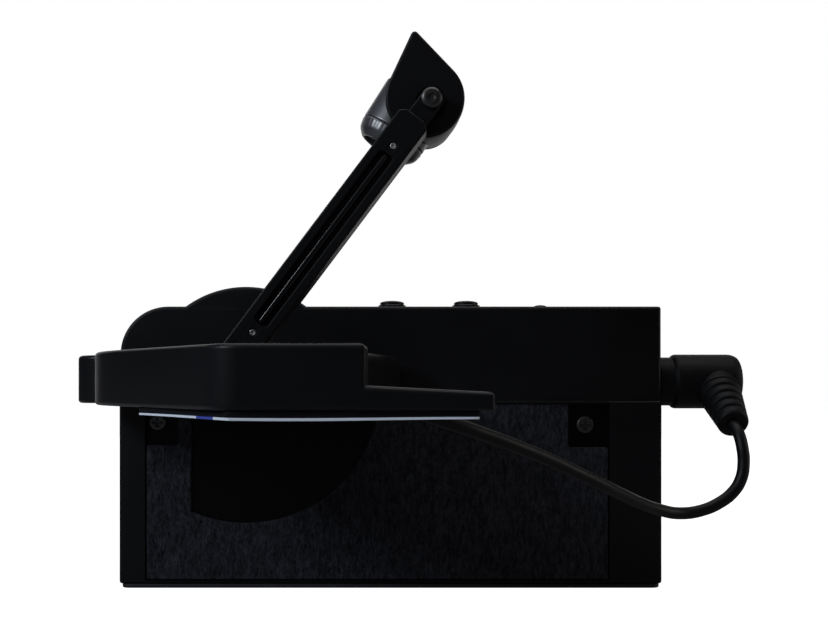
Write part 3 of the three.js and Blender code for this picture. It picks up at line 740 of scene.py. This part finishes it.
def screw(name, face, out, radius, thick, finish, rides="base"):
    """A head whose outer face's centre is at face and which points along out."""
    origin = np.asarray(face, float) - np.asarray(out, float) * thick
    head = disc(0, 0, radius, 28)
    crown = radius * 0.22
    body = slab(head, rising(0, thick, 0.05, crown), around(origin, out),
                high_holes=[(cross_recess(radius * 0.56, radius * 0.13), thick * 0.55, 0)])
    return make(f"{name}_head", body, rides, finish, name)


for i, (x, z) in enumerate(rear_screws):
    screw(f"rear_screw_{i + 1}", (x, BACK - 0.4, z), (0, 1, 0), 2.8, 1.3,
          dark_steel)
for side, (x, z) in {"left": (-70, 49.9), "right": (58.5, 49)}.items():
    screw(f"panel_screw_{side}", (x, -24.7, z), (0, -1, 0), 2.6, 1.3, dark_steel)
DECK_TOP = 69.4
lid_screws = [(-32, -117), (-66, -68), (-12, -40)]
for i, (x, y) in enumerate(lid_screws):
    screw(f"lid_screw_{i + 1}", (x, y, DECK_TOP - 0.1), (0, 0, 1), 2.3, 1.1,
          dark_steel)
print("screws ready")

# %% [markdown]
# ## Felt panel
# The felt is a thin sheet cut round two screws and a round-bottomed window. The sheet is a
# slab with soft edges, and a few thousand short hairs lie on it in geometry, mostly upright,
# so that the light breaks up on it as on real felt.

# %% Felt sheet
WINDOW_LEFT, WINDOW_RADIUS = -60, 40.4
NOTCH_RIGHT, NOTCH_LEFT = (12, 42.3), (9.5, 43.0)      # width, and height of its lower edge
left, bottom, right, top = FELT
swing = math.degrees(math.asin((HUMP[1] - top) / WINDOW_RADIUS))
stop = 180 + math.degrees(math.acos((HUMP[0] - WINDOW_LEFT) / WINDOW_RADIUS))
# The recess floor seen through this window is darkened as painted shade.
window = arc(HUMP[0], HUMP[1], WINDOW_RADIUS, 360 - swing, stop, 40)
felt_outline = Outline([
    (left, bottom, 0.6), (right, bottom, 0.6),
    (right, NOTCH_RIGHT[1], 0.6), (right - NOTCH_RIGHT[0], NOTCH_RIGHT[1], 1),
    (right - NOTCH_RIGHT[0], top, 0.6),
    *window, (WINDOW_LEFT, top, 0.3),
    (left + NOTCH_LEFT[0], top, 0.6), (left + NOTCH_LEFT[0], NOTCH_LEFT[1], 1),
    (left, NOTCH_LEFT[1], 0.6),
])
FELT_FRONT = -24.7
felt_sheet = make("felt_sheet", slab(felt_outline, rising(FELT_FRONT, RECESS_FLOOR, 0.3, 0.05),
                                     frontal), "base", felt, "felt_panel")
felt_area = enclosed(felt_outline.at()) * MM ** 2
print("felt area", round(felt_area * 1e4, 1), "square centimetres")


# %% Felt hairs
def on_felt(x, z):
    """True where a point lies on the sheet, a little inside its edges."""
    inside = (x > left + 0.5) & (x < right - 0.5) & (z > bottom + 1.5) & (z < top - 1.5)
    hole = (np.hypot(x - HUMP[0], z - HUMP[1]) < WINDOW_RADIUS + 1.2) & (x > WINDOW_LEFT - 0.6)
    corner_right = (x > right - NOTCH_RIGHT[0] - 0.6) & (z > NOTCH_RIGHT[1] - 1.5)
    corner_left = (x < left + NOTCH_LEFT[0] + 0.6) & (z > NOTCH_LEFT[1] - 1.5)
    return inside & ~hole & ~corner_right & ~corner_left


def hairs(count, seed):
    """Three-sided hairs of four rings. Each starts on the felt, leans up to 35 degrees from
    upright, and rises and falls over its length by a sine."""
    rng = np.random.default_rng(seed)
    x, z = rng.uniform(left, right, count), rng.uniform(bottom, top, count)
    keep = on_felt(x, z)
    x, z = x[keep], z[keep]
    n = len(x)
    lean = rng.normal(0, 0.45, n)
    length = rng.uniform(0.5, 1.7, n)
    lift = rng.uniform(0.02, 0.1, n)
    thick = rng.uniform(0.045, 0.1, n)
    t = np.linspace(0, 1, 4)[None]
    bow = rng.normal(0, 0.12, n)[:, None] * np.sin(np.pi * t)
    cx = x[:, None] + np.sin(lean)[:, None] * length[:, None] * (t - 0.5) + bow
    cz = z[:, None] + np.cos(lean)[:, None] * length[:, None] * (t - 0.5)
    cy = FELT_FRONT - lift[:, None] * np.sin(np.pi * t)
    narrow = thick[:, None] * (0.35 + 0.65 * np.sin(np.pi * t))
    angle = np.linspace(0, 2 * np.pi, 3, endpoint=False)
    across = np.cos(angle)[None, None] * narrow[..., None]
    depth = np.sin(angle)[None, None] * narrow[..., None]
    points = np.stack([cx[..., None] + across * np.cos(lean)[:, None, None],
                       cy[..., None] + depth,
                       cz[..., None] - across * np.sin(lean)[:, None, None]], axis=-1)
    i, j = np.arange(3)[:, None], np.arange(3)[None]
    quad = np.stack([i * 3 + j, i * 3 + (j + 1) % 3, (i + 1) * 3 + (j + 1) % 3,
                     (i + 1) * 3 + j], axis=-1).reshape(-1, 4)
    ends = np.array([[2, 1, 0], [9, 10, 11]])
    start = (np.arange(n) * 12)[:, None, None]
    blocks = [(quad[None] + start).reshape(-1, 4), (ends[None] + start).reshape(-1, 3)]
    return Loose(points.reshape(-1, 3), blocks), n


HAIRS, SEED = 5200, 11
nap, hair_count = hairs(HAIRS, SEED)
felt_nap = make("felt_nap", nap, "base", felt_hair)
print("hairs:", hair_count)

# %% [markdown]
# ## Buttons
# Three round buttons stand in a row on top. Each has a flared ring that stays and a domed
# cap that sinks when it is pressed. Both are turned shapes.

# %% Buttons
ROW_Y = -12
buttons = [(0.2, 4.7, 2.6), (23.3, 4.7, 2.6), (46.5, 3.15, 1.3)]       # x, radius, height
RIM = 0.95                             # from the cap's side to the ring's
DOME = 0.75                            # height of a cap's rounded top
for i, (x, radius, proud) in enumerate(buttons):
    axis_foot = (x, ROW_Y, 0)
    cap_radius, crown = radius - RIM, TOP + proud
    ring_top = TOP + proud * 0.45
    collar = softened([(radius - 0.85, TOP - 0.4), (radius - 0.1, TOP - 0.4),
                       (radius, TOP + 0.1), (radius - 0.4, ring_top),
                       (radius - 0.75, ring_top + 0.1), (radius - 0.85, ring_top - 0.3)], 0.25)
    make(f"button_ring_{i + 1}", turned(collar, axis_foot, (0, 0, 1), closed=True), "base",
         gloss_black, f"button_bezel_{i + 1}")
    rise_of_dome = np.linspace(0, np.pi / 2, 8)[:-1]
    dome = [(cap_radius * math.cos(t), crown - DOME + DOME * math.sin(t)) for t in rise_of_dome]
    stem = [(1.4, 79.3), (1.4, TOP - 1.5), (cap_radius, TOP - 1.4)]
    make(f"button_dome_{i + 1}", turned([*stem, *dome, (0.06, crown)], axis_foot, (0, 0, 1)),
         f"button_{i + 1}", deck_black, f"button_cap_{i + 1}")
print("buttons ready")

# %% [markdown]
# ## Deck
# The deck is a shallow tray with a lid set flush in its rim. Its plan has a straight front,
# a diagonal left side and round lobes beside the housing, and a low tongue runs on to the
# right. A slot takes the arm when it is folded, through the lid and out of the right wall.
# Height and rounding may change along an outline here: the wall drops at the slot, and its
# upper edge grows rounder towards the housing.

# %% Deck outline
FRONT, DECK_BACK, DECK_BOTTOM = -125, -27, 55.9
DECK_WALL, LID = 1.8, 2
STEP_BACK = -111                       # where the tongue's rear edge meets the tray
SLOT_LOW, SLOT_HIGH, SLOT_END, SLOT_FLOOR = -82.3, -73.3, -47.6, 59.3


SIDE_NEAR, SIDE_FAR = -14, 3.3         # X of the tray's right side, near and far
SIDE_WIDTH = SIDE_FAR - SIDE_NEAR


def on_diagonal(y):
    """X on the tray's right side, which is straight from its near end to its far one."""
    return SIDE_NEAR + (y - STEP_BACK) * SIDE_WIDTH / (DECK_BACK - STEP_BACK)


def deck_outline(between=()):
    """The plan of the tray, with more corners let into its right side."""
    return Outline([
        *bezier((-36, -120.6), (-32.6, FRONT), (-28, FRONT), count=8),
        (-2.75, FRONT, 0.5), (-2.75, STEP_BACK, 0.3), (SIDE_NEAR, STEP_BACK, 1), *between,
        (SIDE_FAR, DECK_BACK, 1.5),
        *arc(-80.4, DECK_BACK - 9, 9, 90, 300, 44),
        *bezier((-76.5, -58), (-76.5, -70), (-70, -79.5), (-62.5, -88.4), count=16),
    ])


NEAR = 0.02
slot_sides = [(on_diagonal(y), y) for y in
              (SLOT_LOW - NEAR, SLOT_LOW, SLOT_HIGH, SLOT_HIGH + NEAR)]
tray_outline = deck_outline(slot_sides)
plan_x, plan_y = tray_outline.corner.T
in_slot = ((plan_x > SIDE_NEAR) & (plan_x < 0)
           & (plan_y > SLOT_LOW - NEAR / 2) & (plan_y < SLOT_HIGH + NEAR / 2))
part_back = np.clip((plan_x - SIDE_NEAR) / SIDE_WIDTH, 0, 1)
toward = np.where(plan_y > STEP_BACK + 1, part_back, 0)
top_edge = np.where(in_slot, SLOT_FLOOR, DECK_TOP)
across = np.where(in_slot, 0.3, 1.1 + 0.5 * toward)
down = np.where(in_slot, 0.3, 1.1 + 2.9 * toward)

# %% Deck tray and tongue
quarter = np.linspace(0, np.pi / 2, 7)
upper = [(across * (1 - math.cos(t)), top_edge - down * (1 - math.sin(t))) for t in quarter]
inner = [(DECK_WALL - 0.05, top_edge), (DECK_WALL, top_edge - 0.1),
         (DECK_WALL, DECK_BOTTOM + DECK_WALL)]
tray = Surface(upright)
skin = tray.wall(tray_outline, [*rising(DECK_BOTTOM, 60, 0.9, 0)[:5], *upper, *inner])
tray.cap(skin[0], up=False)
tray.cap(skin[-1])

TONGUE_RIGHT, TONGUE_TOP, TONGUE_FALL = 23.3, 60.9, 1.3
TONGUE_LEFT, TONGUE_EDGE = -4.5, 1.1
BEHIND_TRAY = 0.03                     # keeps the two front faces from lying in one plane
tongue_outline = rectangle(TONGUE_LEFT, FRONT + BEHIND_TRAY, TONGUE_RIGHT, STEP_BACK, 0.8)
tongue_x = tongue_outline.corner[:, 0]
tongue_part = (tongue_x - TONGUE_LEFT) / (TONGUE_RIGHT - TONGUE_LEFT)
tongue_top = TONGUE_TOP - TONGUE_FALL * tongue_part
tongue = Surface(upright)
skin = tongue.wall(tongue_outline, [
    *rising(DECK_BOTTOM, 58, 0.6, 0)[:5],
    *[(TONGUE_EDGE * (1 - math.cos(t)), tongue_top - TONGUE_EDGE * (1 - math.sin(t)))
      for t in quarter]])
tongue.cap(skin[0], up=False)
tongue.cap(skin[-1])
make("deck_body", [tray, tongue], "base", deck_black, "deck_tray")
print("deck tray ready")

# %% Deck lid
EDGE = DECK_WALL + 0.3
lid_slot = [(on_diagonal(SLOT_LOW), SLOT_LOW + EDGE), (SLOT_END + EDGE, SLOT_LOW + EDGE),
            (SLOT_END + EDGE, SLOT_HIGH - EDGE), (on_diagonal(SLOT_HIGH), SLOT_HIGH - EDGE)]
lid_rows = [(EDGE + d, h) for d, h in rising(DECK_TOP - LID, DECK_TOP, 0.1, 0.25)]
make("deck_lid", slab(deck_outline(lid_slot), lid_rows, upright,
                      high_holes=[(disc(x, y, 2.7), 1.2, 0) for x, y in lid_screws]),
     "base", deck_black, "deck_cover")

# %% [markdown]
# Under the deck's front lies a strip of foam, closed by a white release sheet that sags a
# little in the middle. The foam's edge has the open cells of a cut edge.

# %% Foam and release sheet
PAD = [(-56.4, -94.4, 0.8), (-30.5, -123.8, 1), (20.3, -123.8, 0.8), (20.3, -112.2, 0.8),
       (-13, -112.2), (-19, -92, 0.8), (-56.4, -92, 0.8)]
PAD_BOTTOM, SHEET = 54.6, 0.5


def sag(points):
    """Down by a sine of X, most in the middle of the front edge."""
    moved = points.copy()
    part = np.clip((moved[:, 0] - PAD[0][0]) / (PAD[2][0] - PAD[0][0]), 0, 1)
    moved[:, 2] -= 0.22 * np.sin(np.pi * part) ** 2 * (DECK_BOTTOM - moved[:, 2])
    return moved


def along(corners, most=3.0):
    """The same outline with its long sides cut into equal parts."""
    rows = np.array([(*corner, 0.0)[:3] for corner in corners], float)
    after = np.roll(rows, -1, axis=0)
    cuts = np.maximum(np.ceil(np.linalg.norm((after - rows)[:, :2], axis=1) / most), 1)
    parts = []
    for here, there, n in zip(rows, after, cuts):
        t = np.arange(1, n)[:, None] / n
        line = here + (there - here) * t
        line[:, 2] = 0
        parts += [here[None], line]
    return Outline([tuple(row) for row in np.vstack(parts)])


pad_outline = along(PAD)
strip = make("foam_strip", slab(pad_outline, rising(PAD_BOTTOM, DECK_BOTTOM, 0.12, 0.05, 3),
                                upright), "base", foam, "foam_pad", bend=sag)
make("release_sheet", slab(pad_outline, rising(PAD_BOTTOM - SHEET, PAD_BOTTOM, 0.1, 0.1, 3),
                           upright), "base", white_sheet, "backing_sheet",
     bend=sag)
print("lid, foam and sheet ready")

# %% [markdown]
# ## Arm
# The arm is a spar on a back plate, with a narrow neck at its upper end. A long channel in
# its face holds a raised rib. The pieces are drawn along the arm's own axis, and then turned
# to its angle about the fold pin, as the CAD model has them.

# %% Arm plane
PIVOT, ARM_ANGLE, ARM_LENGTH = (-39.74, 64.0), math.radians(53.02), 85
ARM_FRONT, ARM_SEAM, ARM_BACK, NECK_FRONT = -81.0, -76.15, -74.5, -77.6
TILT = (PIVOT[0] + ARM_LENGTH * math.cos(ARM_ANGLE),
        PIVOT[1] + ARM_LENGTH * math.sin(ARM_ANGLE))


def on_arm(a, b, height):
    """Along the arm and across it, turned by the arm's angle about its pin."""
    c, s = math.cos(ARM_ANGLE), math.sin(ARM_ANGLE)
    return np.stack([PIVOT[0] + a * c - b * s, height, PIVOT[1] + a * s + b * c], axis=1)


# %% Arm pieces
SPAR, NECK = 4.25, 2.8
neck_end = arc(ARM_LENGTH, 0, NECK, -90, 90, 20)
whole = Outline([*arc(0, 0, SPAR, 90, 270, 24), (77.3, -SPAR, 0.6), (78.5, -NECK, 0.6),
                 *neck_end, (78.5, NECK, 0.6), (77.3, SPAR, 0.6)])
stem = Outline([(60, -NECK, 0.5), *neck_end, (60, NECK, 0.5)])
blade = Outline([*arc(0, 0, SPAR, 90, 270, 24), (77.3, -SPAR, 0.6), (78.6, -NECK + 0.05, 0.6),
                 (78.6, NECK - 0.05, 0.6), (77.3, SPAR, 0.6)])
channel = rectangle(15, -2, 67, 2, 1.2)
LOWER_SCREW, UPPER_SCREW = 12.3, 69.4
arm_holes = [disc(x, 0, 0.95, 24) for x in (LOWER_SCREW, UPPER_SCREW)]
blade_body = slab(blade, rising(ARM_FRONT, ARM_SEAM - 0.02, 0.4, 0.15), on_arm,
                  low_holes=[(channel, 1.6, 0), *[(hole, 1.0, 0) for hole in arm_holes]])
neck_body = slab(stem, rising(NECK_FRONT, ARM_SEAM - 0.04, 0.4, 0.15), on_arm)
make("arm_blade", [blade_body, neck_body], "arm", housing_black, "arm_spar")
make("arm_rear_plate", slab(whole, rising(ARM_SEAM + 0.02, ARM_BACK, 0.15, 0.35), on_arm),
     "arm", dark_metal, "arm_back_plate")
rib = rectangle(15.3, -0.65, 66.7, 0.65, 0.6)
make("arm_spine", slab(rib, rising(ARM_FRONT + 0.3, ARM_FRONT + 1.6, 0.3, 0.02), on_arm),
     "arm", gloss_black, "arm_rib")
for end, reach in {"lower": LOWER_SCREW, "upper": UPPER_SCREW}.items():
    face = on_arm(np.array([reach]), np.zeros(1), np.array([ARM_FRONT + 0.15]))[0]
    screw(f"arm_screw_{end}", face, (0, -1, 0), 0.8, 0.7, steel, "arm")
cap_profile = softened([(1.5, 0), (1.5, 5.9), (2.6, 5.9), (2.6, 6.7), (1.9, 7.15),
                        (0.9, 7.2), (0.85, 6.9), (0.06, 6.9)], 0.2)
make("tilt_pin_cap", turned(cap_profile, (TILT[0], -71.9, TILT[1]), (0, -1, 0), 36), "arm",
     dark_steel, "tilt_pin")
print("arm ready")

# %% [markdown]
# ## Camera head
# Seen from the side the head is a circle drawn out to a rounded point. It is a sandwich of
# a side plate, a thick middle and a rear cover, and the seams between them show. The lens
# barrel stands out of it at a slant, with a finely ribbed focus ring at its end.

# %% Head outline
LENS_TILT = math.radians(57.4)


def head_outline():
    """A circle of radius 10 and the point where its two tangents meet, rounded by 1. The
    tangents leave the circle at the angle whose sine is 10 over the point's distance."""
    centre, radius, lean, reach = np.array([-1.58, 1.3]), 10.0, math.radians(99.28), 17.7
    flare = math.degrees(math.asin(radius / reach))
    spread = 90 - flare
    toward = math.degrees(lean)
    point = centre + reach * np.array([math.cos(lean), math.sin(lean)])
    return Outline([*arc(*centre, radius, toward + spread, toward - spread + 360, 48),
                    (*point, 1.0)])


def on_head(a, b, height):
    return np.stack([TILT[0] + a, height, TILT[1] + b], axis=1)


# %% Head pieces
profile_head = head_outline()
make("head_side_plate", slab(profile_head, rising(-74.2, -71.55, 0.75, 0.15), on_head,
                             low_holes=[(disc(0, 0, 3.9, 40), 0.9, 0)]),
     "head", housing_black, "head_cheek")
HEAD_FRONT, HEAD_SEAM, HEAD_BACK, TAPER = -71.5, -52.8, -51.0, 2.2


def drawn_in(depth):
    """The head's inset at a depth: TAPER times the part of the way back, to the power 1.5."""
    return TAPER * ((depth - HEAD_FRONT) / (HEAD_BACK - HEAD_FRONT)) ** 1.5


middle = [(0.12, HEAD_FRONT), *[(0.12 + drawn_in(y), y) for y in
                                np.linspace(HEAD_FRONT + 0.2, HEAD_SEAM, 12)]]
rear = [(d + drawn_in(h), h) for d, h in rising(HEAD_SEAM + 0.05, HEAD_BACK, 0.15, 1.1)]
make("head_middle", slab(profile_head, middle, on_head),
     "head", housing_black, "head_housing")
make("head_rear_plate", slab(profile_head, rear, on_head),
     "head", housing_black, "head_back_cover")

lens_up = np.array([math.cos(LENS_TILT), 0, math.sin(LENS_TILT)])
lens_end = np.array([TILT[0] - 12.23, -61.9, TILT[1] - 9])
barrel = softened([(4.2, 11), (4.2, 3.9), (4.35, 3.8), (4.2, 3.7), (4.2, 1.4), (5.3, 0.95),
                   (5.9, 1.1), (5.9, 4.5), (8.9, 4.5), (9.0, 4.8), (9.0, 8.0),
                   (9.0, 15.8), (8.6, 16.2)], 0.25)
make("lens_tube", turned(barrel, lens_end, lens_up, 64), "head", satin_black,
     "lens_barrel")
grip = softened([(6.2, 0.1), (6.9, 0.0), (8.5, 1.6), (8.97, 4.0), (8.8, 4.4), (6.2, 4.4),
                 (6.05, 2.2)], 0.8)


def ribbed(radius, angle):
    """Forty shallow ribs on the outside only."""
    return 0.03 * np.cos(40 * angle) * (radius > 8.6)


make("focus_grip", turned(grip, lens_end, lens_up, 240, wave=ribbed, closed=True), "focus",
     satin_black, "focus_ring")
POLE, GLASS = 0.04, 4.1                # radius at the closed centre, and of the glass
crown_of_glass = [(max(GLASS * t, POLE), 1.9 + 0.9 * t * t) for t in np.linspace(0, 1, 10)]
lens = turned([*crown_of_glass, (GLASS, 3.5), (POLE, 3.5)], lens_end, lens_up, 48)
make("front_lens", lens, "head",
     lens_coating, "lens_glass")
print("head ready")

# %% [markdown]
# ## Plug and gland
# A right-angle plug is a short round body on its side, with a ribbed strain relief that
# leaves it downwards. Its ribs are rings that thin towards the cord, so they come from one
# profile: a taper with narrow grooves cut in it by a cosine raised to a power.

# %% Plug
plug_axis = (1, 0, 0)
PLUG_Y, PLUG_Z = -15, 62.1
make("plug_neck", turned(softened([(5.2, 0.1), (7.1, 0.0), (7.45, 0.35), (7.45, 5.0)], 0.2),
                         (81.8, PLUG_Y, PLUG_Z), plug_axis), "base", rubber, "plug_collar")
plug = softened([(6.9, -0.4), (7.3, 0), (8.35, 1.0), (8.35, 18.5), (7.5, 20.5), (5.2, 21.1),
                 (0.06, 21.1)], 2.2, 8)
make("plug_shell", turned(plug, (86.2, PLUG_Y, PLUG_Z), plug_axis, 56), "base", rubber,
     "plug_body")

# %% Strain relief
relief_start, relief_end = np.array([100, -15, 62.3]), np.array([98.8, -38.1, 49.7])
relief_axis = relief_end - relief_start
relief_length = np.linalg.norm(relief_axis)
RIBS, RIBS_FROM, BASE, END, GROOVE = 5, 8.6, 6.3, 4.3, 0.95


def relief_profile(count=90):
    """Radius falls from BASE to END, less a groove before each rib: GROOVE times a cosine
    wave, raised to the sixth power so that it is narrow."""
    t = np.linspace(RIBS_FROM, relief_length - 0.7, count)
    part = (t - RIBS_FROM) / (relief_length - RIBS_FROM)
    wave = 0.5 + 0.5 * np.cos(2 * np.pi * part * RIBS)
    radius = BASE + (END - BASE) * part - GROOVE * wave ** 6 * (part > 0.02)
    rows = [(BASE, 3.0), (BASE + 0.1, RIBS_FROM - 0.5), *zip(radius, t)]
    return rows + [(END - 0.35, relief_length - 0.2), (END - 1.1, relief_length),
                   (LEAD / 2 + 0.05, relief_length)]


make("relief_sleeve", turned(relief_profile(), relief_start, relief_axis, 48), "base",
     rubber, "strain_relief")

gland_slope = math.radians(-12)
bore = LEAD / 2 + 0.12
gland = softened([(bore, -4), (2.5, -4), (2.5, 1.2), (3.7, 1.3), (3.75, 2.5), (2.9, 3.4),
                  (2.6, 5.3), (bore + 0.1, 5.6)], 0.35)
make("gland_sleeve", turned(gland, (-11.5, -97.5, 60.9),
                            (math.cos(gland_slope), 0, math.sin(gland_slope)), closed=True),
     "base", rubber, "deck_gland")
print("plug, relief and gland ready")

# %% [markdown]
# ## Pieces kept from the CAD model
# Inside pieces, sockets, bolts and washers keep their CAD shapes, which are right as they
# are. They get the same finishes as the rest.

# %% Finishes for CAD nodes
kept = {
    steel: ["ballast_plate", "data_port", "deck_bolt_1", "deck_bolt_2", "arm_pivot_pin",
            "pivot_washer_front", "pivot_washer_rear", "plug_pin"],
    dark_metal: ["deck_bracket", "arm_cradle"],
    board: ["main_board", "button_board", "sensor_board"],
    gloss_black: ["power_port", "dc_jack", "tact_switch_1", "tact_switch_2",
                  "tact_switch_3"],
}
for finish, names in kept.items():
    for name in names:
        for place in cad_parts[name].material_slots:
            place.material = finish
print("kept nodes:", sum(len(names) for names in kept.values()))

# %% [markdown]
# ## Light
# Black plastic is drawn by what it reflects. The surroundings are white to the camera alone
# and almost black to everything else, so that flat faces stay deep. A wide lamp behind and
# one above draw the upper edges and the round walls. Small ones on the left and the right
# light the lens barrel and the right edges, and a weak one in front lifts the faces.

# %% Stage
def lamp(name, size, place, target, power, colour=(1, 1, 1)):
    light = bpy.data.lights.new(name, "AREA")
    light.shape = "RECTANGLE"
    light.size, light.size_y = size
    light.energy, light.color = power, colour
    obj = bpy.data.objects.new(name, light)
    obj.location = Vector(place)
    obj.rotation_euler = (Vector(target) - Vector(place)).to_track_quat("-Z", "Y").to_euler()
    obj.visible_camera = False
    scene.collection.objects.link(obj)
    return obj


MIDDLE = (0.0, -0.05, 0.06)
lamp("behind", (1.4, 0.7), (0, 0.75, 0.3), MIDDLE, 2.5)
lamp("above", (0.9, 0.5), (0, 0, 0.8), MIDDLE, 3)
lamp("sky", (0.2, 0.2), (-0.6, -0.45, 0.45), MIDDLE, 3, (0.85, 0.92, 1))
lamp("warm", (0.25, 0.5), (0.75, -0.1, 0.25), MIDDLE, 1.2, (1, 0.93, 0.84))
lamp("front", (0.8, 0.5), (-0.35, -1.0, 0.65), MIDDLE, 0.5)

world = bpy.data.worlds.new("surroundings")
world.use_nodes = True
scene.world = world
tree = world.node_tree
background = tree.nodes["Background"]
background.inputs["Color"].default_value = (1, 1, 1, 1)
ray = tree.nodes.new("ShaderNodeLightPath")
level = tree.nodes.new("ShaderNodeMapRange")
level.inputs["To Min"].default_value = 0.02
level.inputs["To Max"].default_value = 1.0
tree.links.new(ray.outputs["Is Camera Ray"], level.inputs["Value"])
tree.links.new(level.outputs["Result"], background.inputs["Strength"])

# %% Floor
white = bpy.data.materials.new("pale_floor")
white.use_nodes = True
shader = white.node_tree.nodes["Principled BSDF"]
shader.inputs["Base Color"].default_value = (0.3, 0.3, 0.3, 1)
shader.inputs["Roughness"].default_value = 0.9
shader.inputs["Emission Color"].default_value = (1, 1, 1, 1)
ray = white.node_tree.nodes.new("ShaderNodeLightPath")
white.node_tree.links.new(ray.outputs["Is Camera Ray"], shader.inputs["Emission Strength"])
FLOOR = 3.0
mesh = bpy.data.meshes.new("floor")
mesh.from_pydata([(-FLOOR, -FLOOR, 0), (FLOOR, -FLOOR, 0), (FLOOR, FLOOR, 0),
                  (-FLOOR, FLOOR, 0)], [], [(0, 1, 2, 3)])
mesh.materials.append(white)
floor = bpy.data.objects.new("floor", mesh)
scene.collection.objects.link(floor)
scene.view_settings.view_transform = "Standard"
print("lamps:", len(bpy.data.lights))
